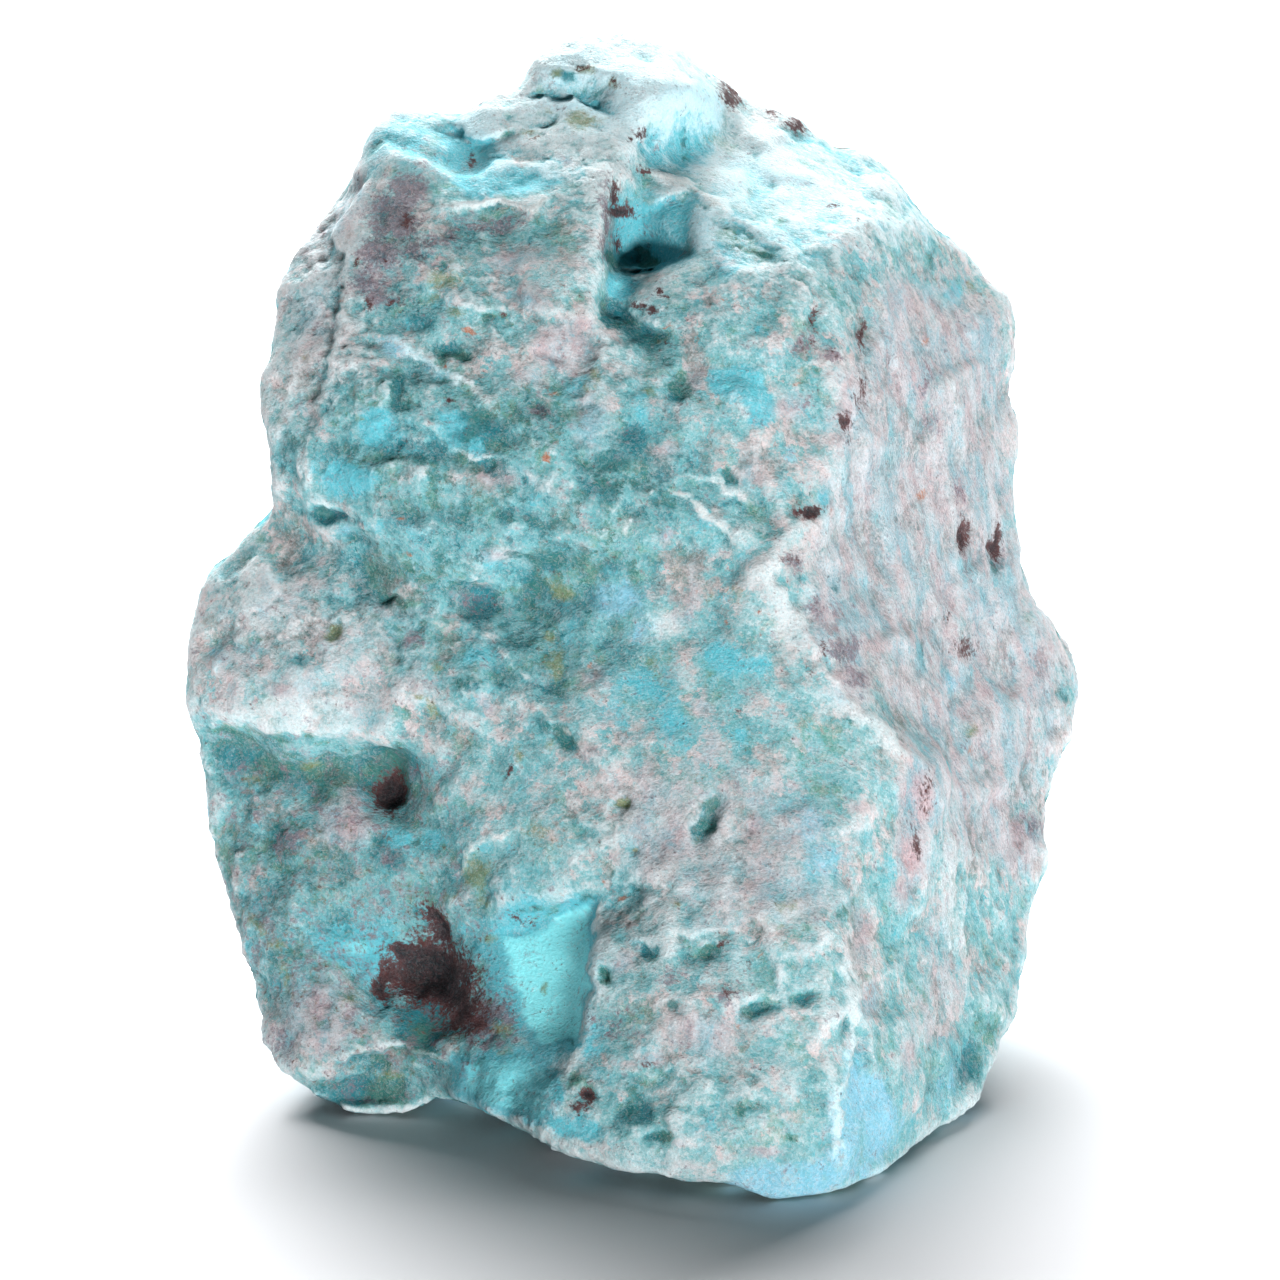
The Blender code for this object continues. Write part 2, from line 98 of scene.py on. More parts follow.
# ---- marks on the front
# The patches of each mineral, as ovals: right, up, half width, half height, strength and, if not level, turn.
PATCHES = {
    "turquoise": [
        (-1.2, 20.9, 0.9, 0.5, 1.0), (0.8, 24.2, 1.6, 1.8, 0.9), (2.4, 30.0, 2.2, 2.4, 0.6),
        (-9.5, 28.6, 1.4, 1.3, 1.0), (-10.7, 29.3, 0.6, 1.0, 0.7), (-8.0, 27.0, 3.0, 0.7, 0.9, 5),
        (-3.0, 31.4, 1.3, 0.3, 0.9), (-4.4, 33.0, 0.9, 0.6, 0.8), (-6.0, -19.2, 2.6, 3.2, 1.3),
        (-5.0, -22.0, 1.8, 2.2, 1.2), (-17.0, 9.6, 1.6, 0.8, 0.8), (-15.6, 12.4, 0.8, 1.2, 0.7),
        (-16.6, -18.2, 2.2, 1.1, 1.1), (-10.0, -26.0, 1.1, 1.2, 1.1), (-8.0, -26.8, 1.2, 1.0, 0.8),
        (5.5, 15.3, 1.2, 0.7, 1.0), (6.8, 14.6, 0.5, 1.0, 0.9), (7.4, 13.4, 0.8, 0.8, 0.6),
        (4.8, -1.2, 1.0, 1.0, 0.8), (7.3, -1.3, 0.3, 0.3, 0.9), (0.5, -3.0, 1.5, 1.5, 0.5),
        (2.0, -4.6, 0.9, 1.2, 0.6), (5.9, -5.7, 0.5, 0.6, 0.7), (-11.9, -11.9, 0.6, 0.5, 0.8),
        (-14.3, -11.5, 0.8, 0.4, 0.7), (-4.0, -28.6, 1.3, 0.5, 0.9, -20), (-9.5, -1.0, 1.0, 0.5, 0.5),
        (10.8, 8.2, 0.2, 0.5, 0.7), (18.5, 20.4, 0.5, 0.7, 0.6), (-10.2, 12.2, 1.3, 0.8, 0.7, -25),
        (-13.5, 31.0, 2.4, 1.2, 0.6), (-5.2, 16.4, 0.2, 0.5, 0.7), (7.2, 18.2, 0.4, 0.2, 0.7),
    ],
    "sky": [
        (-1.4, 2.4, 1.7, 1.3, 1.1), (0.1, 0.6, 0.8, 1.0, 0.8), (9.9, -10.9, 1.5, 1.4, 0.9),
        (11.0, -13.0, 1.6, 1.3, 0.8), (10.4, -6.4, 0.7, 0.7, 0.7), (9.2, -31.4, 4.2, 1.3, 0.9),
        (13.0, -28.8, 2.0, 3.2, 0.9), (12.7, -25.5, 1.2, 2.0, 0.7), (18.3, -2.4, 0.7, 0.7, 1.0),
        (21.3, -4.5, 0.5, 1.3, 0.7), (-14.6, 17.2, 1.6, 0.6, 0.7, -20), (-12.0, 15.8, 1.8, 0.5, 0.6, -25),
        (-24.6, -1.1, 0.7, 0.6, 0.7), (-22.6, -0.6, 0.6, 0.5, 0.7), (-17.4, 6.2, 0.6, 0.4, 0.7),
        (0.1, -11.2, 0.4, 0.6, 0.7), (8.8, 11.0, 0.8, 0.5, 0.7, -30), (17.8, -26.0, 0.7, 1.6, 0.6),
        (-7.5, 10.1, 1.2, 0.5, 0.4), (19.0, 1.2, 0.4, 0.3, 0.7),
    ],
    # Deep teal, some of it painted shade: the patches at the bottom of the cleft, under the ledge of the
    # upper block, above the pit and under the left foot darken where shade falls.
    "deep": [
        (-11.2, 17.0, 1.3, 0.4, 1.1, -15), (-10.3, 16.6, 0.4, 0.4, 1.0), (-14.2, 14.8, 0.5, 0.9, 1.0),
        (-13.9, 13.8, 0.9, 0.5, 0.9), (-15.2, 15.4, 0.9, 0.3, 0.7, -30), (-9.6, 13.0, 1.4, 0.8, 1.2, -30),
        (-8.2, 11.9, 0.8, 0.5, 1.0, -10), (-10.3, 12.0, 1.4, 0.7, 0.9), (-12.8, 19.0, 1.0, 0.8, 0.8),
        (-8.8, 19.0, 0.5, 0.25, 1.0), (-17.3, 11.8, 0.5, 0.3, 0.8, -40), (-13.0, 10.8, 1.5, 0.8, 0.7),
        (-20.6, 11.3, 0.6, 1.3, 0.8), (-18.3, 7.2, 1.3, 0.5, 1.3, -12), (-7.8, 7.3, 0.9, 0.4, 0.8, -25),
        (-6.3, 6.6, 0.6, 0.3, 0.7), (-14.9, 2.5, 0.8, 0.4, 1.1, -25), (-18.4, 2.9, 0.5, 0.5, 0.7),
        (-19.6, 4.6, 0.4, 0.8, 0.5), (-19.9, -1.3, 0.6, 0.4, 0.7, -20), (-11.7, 4.6, 1.3, 1.6, 0.7),
        (-9.6, 2.3, 1.3, 1.1, 1.0), (-5.5, 4.7, 1.3, 0.6, 1.1), (-6.3, 3.4, 1.2, 0.9, 0.9),
        (-8.2, -1.9, 0.9, 0.9, 0.6), (-10.1, -2.6, 1.2, 0.7, 0.8), (-4.5, -5.6, 0.9, 0.6, 1.1, -35),
        (-5.8, -4.8, 0.6, 0.5, 0.9), (-5.5, -3.0, 0.9, 0.5, 0.6), (-22.5, -7.5, 2.0, 1.0, 0.8),
        (-24.0, -5.6, 1.5, 0.7, 0.7, -20), (-19.0, -9.0, 0.9, 0.9, 0.9), (-21.0, -12.0, 1.6, 2.4, 0.7),
        (-14.5, -7.2, 1.3, 0.9, 1.4), (-14.5, -13.0, 0.9, 1.1, 0.9, -30), (-13.8, -14.6, 0.4, 0.8, 0.6, 20),
        (-15.8, -16.2, 0.5, 0.6, 0.6), (-12.9, -22.8, 1.7, 1.7, 1.4), (-13.0, -24.2, 2.4, 0.5, 0.7, -5),
        (-16.5, -26.8, 3.0, 1.0, 1.2), (-9.8, -24.7, 0.9, 0.5, 0.8), (-6.3, -15.8, 1.8, 0.3, 0.8, 5),
        (-3.2, -15.3, 0.8, 0.25, 0.8, 15), (-2.0, -19.7, 0.5, 0.5, 1.0), (0.3, -18.3, 0.5, 0.3, 0.9),
        (4.0, -18.3, 1.2, 0.35, 0.9, 15), (6.9, -21.8, 0.8, 0.4, 1.2), (9.6, -21.0, 0.6, 0.3, 0.9),
        (2.0, -21.6, 0.5, 0.3, 0.7), (-1.5, -17.4, 0.4, 0.5, 0.6), (6.0, -27.5, 0.3, 0.5, 0.7),
        (8.7, -29.1, 0.3, 0.2, 0.8), (1.0, -29.4, 0.9, 0.5, 0.8, 10), (-0.6, -26.5, 0.7, 0.8, 0.9),
        (-0.3, -28.0, 1.4, 0.9, 0.9), (-3.5, -25.8, 1.0, 0.3, 0.8), (-4.0, -23.7, 0.4, 0.3, 0.8),
        (4.1, -9.7, 0.45, 0.8, 1.1, -20), (3.8, -11.0, 0.6, 0.6, 1.2), (0.2, 17.9, 1.2, 0.7, 1.1),
        (1.6, 16.2, 0.35, 0.6, 0.9), (2.2, 14.7, 0.8, 0.9, 1.1), (-0.3, 12.0, 1.6, 1.0, 0.9),
        (-2.0, 10.6, 1.5, 0.8, 1.2), (-2.0, 8.9, 1.8, 0.8, 1.0), (5.3, 9.5, 0.7, 0.4, 1.0, -35),
        (5.4, 8.1, 0.9, 0.35, 0.8), (-1.3, 19.0, 0.8, 0.8, 0.9), (5.0, 21.5, 1.0, 0.6, 0.7),
        (7.2, 22.8, 1.0, 0.2, 0.9, -10), (2.5, 29.3, 0.3, 1.5, 0.8), (-6.0, 24.6, 0.4, 1.1, 0.7),
        (-6.5, 23.6, 0.5, 0.4, 0.6), (-0.7, 22.4, 1.6, 0.5, 1.3), (11.5, 3.0, 0.3, 0.3, 0.9),
        (16.6, -0.7, 0.4, 1.1, 0.7), (21.1, 4.4, 0.5, 0.7, 0.8), (17.1, 22.3, 0.3, 1.0, 0.6),
        (19.3, -25.0, 1.1, 1.3, 0.8), (20.5, -22.6, 0.6, 0.7, 0.7), (24.8, -3.2, 0.9, 0.6, 0.5),
        (12.3, -4.9, 0.5, 0.4, 0.7), (12.0, -15.8, 0.8, 0.8, 0.7), (8.0, -14.5, 0.4, 0.4, 0.7),
        (9.4, 3.6, 0.4, 0.4, 0.7), (-4.8, -26.6, 0.3, 0.5, 0.7), (-4.4, 33.2, 1.0, 0.5, 0.8),
    ],
    "pink": [
        (-4.5, 17.2, 1.8, 1.6, 0.9), (-3.4, 18.6, 0.9, 0.5, 0.8), (-6.2, 20.0, 1.4, 0.9, 0.6),
        (-7.5, 22.4, 2.0, 0.6, 0.6, 5), (-6.5, 15.4, 1.4, 0.8, 0.6), (-8.5, 9.5, 1.4, 0.7, 0.6),
        (-3.0, 13.0, 1.2, 1.6, 0.6), (-15.8, 21.0, 1.2, 1.0, 0.7), (-17.5, 24.6, 0.8, 0.6, 0.7),
        (-16.3, 26.4, 0.5, 1.2, 0.7, 15), (-8.6, 5.0, 1.6, 0.5, 0.7), (-22.0, 2.5, 0.8, 2.0, 0.6),
        (-21.2, -3.0, 1.0, 0.5, 0.8), (-8.9, -3.9, 0.6, 0.6, 0.8), (-17.5, -11.0, 1.5, 1.4, 1.2),
        (-16.9, -9.0, 0.8, 1.6, 0.9), (-2.7, -2.0, 1.0, 0.8, 0.8), (-0.9, -5.6, 0.7, 0.7, 0.7),
        (-2.9, -6.8, 0.9, 0.6, 0.7, -30), (0.3, -8.3, 0.5, 1.2, 0.7), (2.2, -11.5, 1.1, 2.0, 0.9),
        (2.4, -13.8, 0.7, 1.0, 0.6), (6.6, -11.0, 1.0, 0.9, 0.8), (4.3, -6.2, 0.5, 1.0, 0.7),
        (3.8, -4.0, 0.7, 0.6, 0.7), (3.1, 3.2, 0.4, 2.4, 0.8, -5), (2.1, 1.6, 0.4, 1.4, 0.5),
        (9.1, -6.0, 0.5, 0.5, 0.6), (12.9, -9.9, 0.9, 0.5, 0.6), (8.8, -8.6, 1.0, 0.6, 0.6),
        (7.0, -13.5, 1.5, 0.8, 0.6), (3.2, 15.4, 0.6, 0.9, 0.7), (1.2, 11.0, 1.4, 0.6, 0.5, 10),
        (9.0, 13.5, 1.0, 1.2, 0.6), (6.6, 10.4, 1.0, 1.4, 0.6), (8.2, 7.2, 0.8, 0.7, 0.6),
        (11.3, 1.6, 1.6, 2.6, 0.9), (12.5, -2.0, 1.4, 1.8, 0.9, -20), (11.9, 5.5, 1.6, 2.0, 0.6),
        (13.0, 9.5, 1.2, 3.5, 0.8), (12.6, 13.5, 1.2, 2.4, 0.9), (16.2, 15.0, 2.0, 2.0, 0.9),
        (15.2, 6.0, 2.0, 3.5, 0.6), (20.0, 18.0, 1.6, 2.0, 0.8), (19.4, 10.0, 2.4, 3.0, 0.7),
        (20.5, 1.5, 2.5, 3.5, 0.8), (23.0, -2.0, 1.8, 3.5, 0.9), (16.6, -9.3, 1.3, 2.2, 1.4),
        (15.5, -14.8, 0.8, 1.0, 0.9), (16.0, -12.6, 1.0, 1.8, 1.2), (22.3, -12.0, 1.6, 2.0, 0.9),
        (17.5, -4.5, 1.6, 2.0, 0.7), (17.5, -20.0, 1.5, 5.0, 0.5), (13.5, -21.0, 0.6, 1.1, 0.9),
        (13.0, -17.5, 0.8, 2.4, 0.6), (15.8, -24.5, 0.5, 3.0, 0.5), (4.0, -23.0, 2.8, 1.6, 0.7),
        (0.4, -24.8, 1.6, 0.5, 0.8), (-1.0, -19.0, 0.8, 0.5, 0.7, 20), (7.0, -30.2, 1.1, 0.3, 0.9),
        (2.4, -29.5, 0.5, 0.2, 0.8), (3.0, -31.0, 2.0, 0.3, 0.5, -10), (-18.8, -21.8, 2.4, 2.4, 1.0),
        (-21.0, -23.4, 0.9, 1.0, 0.6), (9.5, 26.8, 0.8, 0.3, 0.6), (5.2, 22.1, 0.8, 0.4, 0.6),
        (-4.4, 28.3, 0.5, 0.3, 0.8), (1.6, 6.1, 0.45, 0.4, 1.4),
    ],
    "violet": [
        (-9.0, -22.4, 2.0, 1.7, 0.9, 30), (-14.3, 25.2, 1.2, 2.6, 1.0, -20), (-13.2, 26.6, 0.9, 1.0, 0.8),
        (-13.8, 24.5, 0.7, 0.6, 1.1), (-15.2, 22.8, 1.2, 1.2, 1.0), (-13.0, 23.0, 1.3, 1.1, 0.9),
        (-16.0, 20.9, 1.0, 1.0, 0.6), (-14.6, 20.0, 1.4, 0.6, 0.8), (-8.6, 24.4, 1.6, 0.5, 0.7),
        (-11.0, 23.7, 1.0, 0.6, 0.7), (-2.1, 24.5, 0.4, 2.2, 0.8), (-9.6, 2.2, 1.0, 0.9, 0.6),
        (-13.8, 0.0, 1.6, 0.4, 0.6), (1.9, -19.8, 0.6, 0.5, 0.8), (5.2, -20.8, 0.8, 0.5, 0.8),
        (-1.6, -22.4, 1.6, 1.1, 0.5), (9.6, 17.5, 0.9, 0.7, 0.8), (11.3, 16.7, 0.6, 0.6, 0.7),
        (9.1, 4.6, 0.7, 0.6, 1.0), (12.0, -0.6, 0.7, 0.9, 0.9), (12.7, -2.3, 1.0, 0.9, 0.6),
        (17.0, 15.2, 0.5, 0.9, 0.6), (23.0, -11.0, 0.7, 0.9, 0.8), (10.5, 2.0, 0.6, 0.6, 0.6),
        (-20.9, -12.0, 1.2, 2.0, 0.5), (-21.0, -23.5, 0.8, 1.0, 0.6), (9.8, 14.3, 0.7, 0.5, 0.6),
        (16.9, 12.6, 0.6, 0.9, 0.5), (13.7, 10.1, 0.4, 0.5, 0.6), (18.9, 8.6, 0.6, 0.9, 0.4),
        (-5.9, 13.7, 0.4, 0.4, 0.8), (-8.2, 10.0, 0.3, 0.3, 0.7),
    ],
    "rust": [
        (-12.2, -19.6, 2.4, 1.9, 1.7, -20), (-10.4, -21.8, 1.7, 1.6, 1.0, 30),
        (-14.4, -19.4, 1.2, 1.3, 0.9), (-12.6, -17.4, 1.6, 1.6, 0.5), (-11.9, -16.8, 0.6, 1.6, 1.4, 22),
        (-13.9, -18.4, 1.1, 0.45, 1.3, -40), (-15.1, -20.3, 0.6, 1.0, 1.3, 10),
        (-10.7, -21.0, 0.9, 1.1, 1.2, 30), (-9.6, -22.6, 0.9, 0.8, 0.9), (-14.8, -9.0, 0.8, 1.2, 1.4, -15),
        (0.1, 29.8, 0.3, 0.35, 1.1), (-0.4, 29.3, 0.3, 0.2, 0.8), (0.2, 27.6, 0.45, 0.15, 1.0),
        (-1.6, 26.3, 0.3, 0.8, 1.1), (-1.1, 25.2, 0.9, 0.4, 1.2), (-1.4, 23.4, 0.25, 0.6, 1.0),
        (5.3, 31.9, 0.6, 0.8, 1.1, 30), (7.8, 31.0, 0.6, 0.3, 0.8, -35), (9.2, 30.2, 0.7, 0.5, 1.0, -20),
        (-10.0, 28.4, 0.2, 0.7, 1.0), (9.8, 7.5, 1.0, 0.3, 1.2), (10.4, 18.9, 0.25, 0.6, 1.1, 15),
        (13.1, 18.2, 0.2, 1.0, 1.1), (13.2, 15.0, 0.2, 0.9, 0.9, 5), (12.7, 14.1, 0.3, 0.5, 0.9, 20),
        (12.0, 12.6, 0.45, 0.8, 1.0, 15), (21.0, 5.9, 0.3, 1.1, 1.3), (19.0, 6.1, 0.35, 1.1, 1.0, 5),
        (19.3, -0.3, 0.5, 0.8, 0.8, -25), (-3.0, -26.8, 0.45, 0.5, 1.3), (-3.6, -27.4, 0.4, 0.2, 0.8, 20),
        (-11.15, 14.2, 0.2, 0.2, 1.2), (-7.9, 19.1, 0.2, 0.2, 1.2), (-14.4, 19.8, 0.6, 0.3, 0.8),
        (-15.9, 19.9, 0.35, 0.35, 0.9), (-13.8, 24.6, 0.5, 0.4, 0.8), (-15.0, 22.3, 0.25, 0.25, 0.9),
        (-16.6, 22.1, 0.2, 0.2, 0.9), (11.5, 25.4, 0.7, 0.2, 0.9, -10), (12.7, 24.8, 0.3, 0.1, 0.8, -20),
        (0.3, 19.6, 1.1, 0.3, 0.9, -15), (1.4, 20.5, 0.2, 0.4, 0.9), (3.8, 22.6, 0.35, 0.35, 0.7),
        (8.8, 22.4, 0.2, 0.2, 0.7), (16.8, -9.0, 0.6, 1.3, 0.6), (16.3, -12.0, 0.25, 1.0, 0.8, 15),
        (15.5, -10.8, 0.4, 0.2, 0.8), (6.3, -19.1, 0.25, 0.4, 0.9), (5.2, -20.9, 0.5, 0.3, 0.7),
        (0.4, -25.1, 0.5, 0.25, 0.8), (5.0, -17.7, 0.4, 0.2, 0.7, 20), (10.9, -0.5, 0.25, 0.5, 0.8),
        (9.8, -2.0, 0.15, 0.35, 0.6), (-7.8, -7.7, 0.15, 0.4, 0.9), (-6.9, -16.5, 1.0, 0.25, 0.7, -25),
        (1.6, 17.3, 0.4, 0.25, 0.7), (9.0, 4.8, 0.4, 0.4, 0.6), (11.4, 16.6, 0.4, 0.15, 0.6),
        (9.8, 17.6, 0.5, 0.3, 0.7), (18.0, 1.3, 0.4, 0.3, 0.6), (-3.3, 33.7, 0.4, 0.3, 0.7),
        (-1.5, 32.8, 0.25, 0.4, 0.6), (-6.3, 29.5, 0.4, 0.15, 0.6),
    ],
    "ochre": [
        (-11.6, 21.2, 1.6, 0.7, 0.8), (-12.2, 20.2, 0.7, 0.6, 0.7), (-10.7, 19.4, 0.8, 0.4, 0.8),
        (-2.6, 15.6, 0.35, 0.9, 0.8), (-3.3, 14.9, 0.3, 0.3, 0.7), (-16.6, 13.0, 0.6, 0.3, 0.6),
        (-19.6, 16.6, 0.35, 0.35, 0.7), (-6.5, 29.6, 0.9, 0.3, 0.8), (-3.2, 30.6, 1.4, 0.5, 0.9),
        (-5.2, 31.2, 0.5, 0.2, 0.7), (-8.4, 31.3, 0.5, 0.3, 0.6), (-5.0, 33.4, 0.5, 0.5, 0.9),
        (-3.2, 33.6, 0.6, 0.4, 0.9), (-1.5, 32.7, 0.4, 0.5, 0.8), (-5.8, 32.3, 0.6, 0.5, 0.7),
        (-18.1, 0.5, 0.7, 0.5, 1.2, 15), (-12.7, -3.4, 0.8, 0.25, 0.9, -15),
        (-12.1, -4.2, 0.45, 0.7, 0.9, 15), (-11.8, -1.6, 0.6, 0.5, 0.7), (-7.3, -6.6, 0.35, 0.9, 0.9, 10),
        (-4.9, -1.5, 0.8, 1.2, 0.9), (-5.4, 0.1, 0.7, 0.5, 0.8), (-4.6, 2.9, 1.0, 0.6, 1.0, -20),
        (-5.3, -6.2, 0.6, 0.5, 0.7), (-9.5, -13.7, 0.9, 1.2, 1.0, 20), (-9.2, -15.4, 0.7, 0.5, 0.8),
        (-11.0, -15.2, 0.8, 0.35, 0.7), (-6.0, -11.2, 1.6, 1.6, 0.55), (-5.2, -12.5, 1.0, 1.0, 0.5),
        (-8.7, -17.5, 0.6, 0.4, 0.8), (-21.3, -17.8, 0.5, 0.6, 0.8, 30), (-22.5, -16.8, 1.6, 0.3, 0.8, -50),
        (-20.8, -20.0, 0.3, 1.4, 0.7, 20), (-17.2, -21.0, 1.0, 1.0, 0.5), (-8.0, -22.8, 0.6, 0.6, 0.7),
        (-14.5, -25.7, 2.0, 0.6, 0.6), (-22.8, -8.4, 1.2, 0.6, 0.6), (-19.3, -7.3, 0.9, 0.5, 0.8),
        (-5.4, -20.4, 0.22, 0.38, 1.3), (-3.4, -17.3, 0.15, 0.6, 0.9), (0.5, 2.5, 0.2, 0.2, 1.0),
        (0.9, -1.3, 0.7, 0.7, 0.7), (-0.5, -3.8, 0.25, 0.3, 0.8), (5.6, 2.8, 0.9, 0.7, 0.6),
        (4.0, 2.6, 0.6, 0.7, 0.5), (2.0, 4.3, 0.6, 0.5, 0.5), (-1.1, -9.7, 0.45, 0.3, 1.2),
        (-0.3, -12.4, 0.3, 0.25, 1.2), (3.3, -11.8, 0.35, 0.35, 0.9), (3.6, -8.2, 0.9, 0.3, 0.7),
        (2.6, -7.0, 0.5, 0.3, 0.6), (2.0, -15.6, 0.7, 0.4, 0.7, -30), (8.7, -15.6, 1.2, 0.6, 0.6),
        (8.5, -16.7, 0.8, 0.3, 0.6), (9.9, -27.2, 1.4, 1.2, 0.4), (0.4, 14.6, 0.4, 0.5, 0.9),
        (1.4, 17.6, 0.6, 0.3, 0.6), (12.0, 23.8, 0.5, 0.3, 0.5), (19.5, 20.7, 0.4, 0.4, 0.7),
        (19.3, -5.3, 0.5, 0.5, 0.8), (11.2, 18.6, 0.5, 0.3, 0.5), (4.0, 29.4, 0.7, 0.6, 0.5),
        (5.3, -3.0, 0.6, 0.3, 0.6),
    ],
    "orange": [
        (-10.2, 18.2, 0.77, 0.17, 1.3, -5), (-12.3, 16.6, 0.31, 0.17, 1.0), (-11.2, 16.2, 0.63, 0.17, 1.0),
        (-5.4, 10.5, 0.34, 0.5, 1.4), (-5.1, 14.7, 0.35, 0.17, 1.1), (-5.5, 13.6, 0.21, 0.42, 1.0),
        (-5.2, 12.4, 0.28, 0.21, 0.9), (-14.2, 7.2, 0.49, 0.22, 1.0, 10), (-13.6, 5.2, 0.49, 0.25, 1.0, 10),
        (-12.6, 8.6, 0.56, 0.42, 0.5), (-4.6, -15.0, 0.35, 0.35, 1.0), (-2.2, -14.3, 0.21, 0.28, 1.0),
        (-1.2, -15.2, 0.49, 0.21, 0.9), (5.9, -22.7, 0.28, 0.2, 1.3), (5.1, 0.9, 0.21, 0.28, 1.1),
        (7.2, 0.5, 0.56, 0.42, 0.8), (7.0, 1.5, 0.35, 0.42, 0.8), (3.4, 3.0, 0.42, 0.56, 0.7),
        (8.4, -0.2, 0.25, 0.56, 0.8), (-2.8, -1.3, 0.28, 0.35, 0.9), (13.5, -20.8, 0.49, 0.98, 0.7),
        (7.0, -18.6, 0.49, 0.28, 0.8, 20), (4.5, -15.8, 0.21, 0.21, 0.8), (4.9, 20.1, 0.35, 0.17, 1.0),
        (1.5, 18.5, 0.98, 0.21, 0.8), (3.7, 19.7, 0.21, 0.21, 0.8), (9.2, 15.1, 0.7, 0.25, 0.8),
        (7.7, 18.4, 0.35, 0.14, 0.9), (16.8, 17.5, 0.35, 0.42, 0.9), (16.7, 8.6, 0.42, 0.49, 0.9),
        (11.2, 7.4, 0.35, 0.28, 0.9), (19.4, -6.4, 0.56, 0.56, 0.7), (10.4, 22.5, 0.49, 0.28, 0.7),
        (4.7, 22.8, 0.21, 0.21, 0.7), (-9.5, 24.6, 0.17, 0.28, 0.9), (-17.5, 20.0, 0.21, 0.42, 0.8),
        (-16.1, 26.0, 0.2, 0.2, 0.9), (-7.7, 30.3, 0.25, 0.7, 0.7), (6.0, -12.7, 0.42, 0.42, 0.5),
        (12.2, -12.4, 0.42, 0.28, 0.6), (11.7, -32.0, 0.35, 0.17, 0.8),
    ],
    "chalk": [
        (1.5, 1.0, 1.0, 0.6, 1.3), (-0.9, 7.0, 0.6, 0.8, 0.8), (-8.3, 25.7, 2.2, 0.3, 1.1, 5),
        (7.7, 22.2, 1.2, 0.7, 0.9), (5.7, 22.9, 0.5, 0.4, 0.7), (8.7, -16.0, 1.4, 0.8, 0.8),
        (-13.0, 16.6, 2.0, 0.45, 0.8, -25), (-10.3, 15.0, 1.2, 0.35, 0.8, -25),
        (-9.8, 10.9, 1.8, 0.45, 0.6, -15), (-6.0, 9.3, 2.4, 0.5, 0.6, -15), (4.2, 7.2, 1.8, 0.3, 0.9, -30),
        (5.0, 8.9, 1.6, 0.25, 0.7, -20), (-20.0, -4.3, 3.5, 1.2, 0.7), (-22.0, 2.0, 2.5, 3.0, 0.5),
        (-15.3, 1.0, 1.5, 1.5, 0.4), (9.0, 1.5, 1.2, 1.8, 0.8, -30), (12.5, -4.2, 1.6, 0.6, 0.9, -30),
        (7.5, 4.0, 1.0, 1.0, 0.6, -30), (14.5, -6.0, 0.7, 1.0, 0.6), (-2.2, -17.0, 0.4, 1.2, 0.8),
        (-4.5, -25.0, 1.2, 0.5, 0.7, 20), (-5.5, -27.0, 1.0, 0.8, 0.6), (1.9, -17.4, 0.5, 0.25, 0.9),
        (12.4, -22.0, 0.4, 4.0, 0.8), (11.5, -29.0, 0.3, 1.2, 0.8, -10), (6.6, -17.6, 2.0, 0.3, 0.6),
        (1.6, 27.0, 1.6, 0.3, 0.9, -20), (4.0, 26.0, 1.2, 0.25, 0.8, -25), (8.0, 27.5, 3.5, 0.4, 0.4, -20),
        (-13.5, 30.8, 2.0, 1.0, 0.7), (-5.5, 27.6, 2.5, 0.6, 0.8), (1.0, 32.2, 1.0, 0.3, 0.9, 20),
        (18.2, -15.0, 0.6, 5.0, 0.6), (14.5, 3.0, 0.4, 4.0, 0.4),
    ],
}
# Corners of areas that hold more than one mineral.
UPPER_LEFT_EDGE = [
    (-19.5, 26.0), (-16.2, 28.5), (-15.8, 24.0), (-16.6, 19.0), (-18.6, 14.0), (-21.0, 12.0), (-21.0, 20.0),
]
CLEFT_SILL = [(1.8, 26.0), (2.4, 22.6), (6.0, 22.2), (9.6, 22.4), (7.0, 24.6), (4.0, 26.4)]
LEFT_LOBE = [(-25.0, 2.0), (-19.0, 6.0), (-12.0, 3.0), (-11.0, -4.0), (-16.0, -5.6), (-25.5, -4.6)]
LOWER_LEFT = [
    (-25.0, -6.0), (-17.0, -6.6), (-12.0, -6.6), (-10.0, -14.0), (-9.0, -25.0), (-18.0, -27.5),
    (-23.0, -20.0), (-25.5, -12.0),
]
# How wide the rim of an area is, in millimetres: the smooth blue faces end sharply.
CRISP = 0.8
SOFT = 3.5
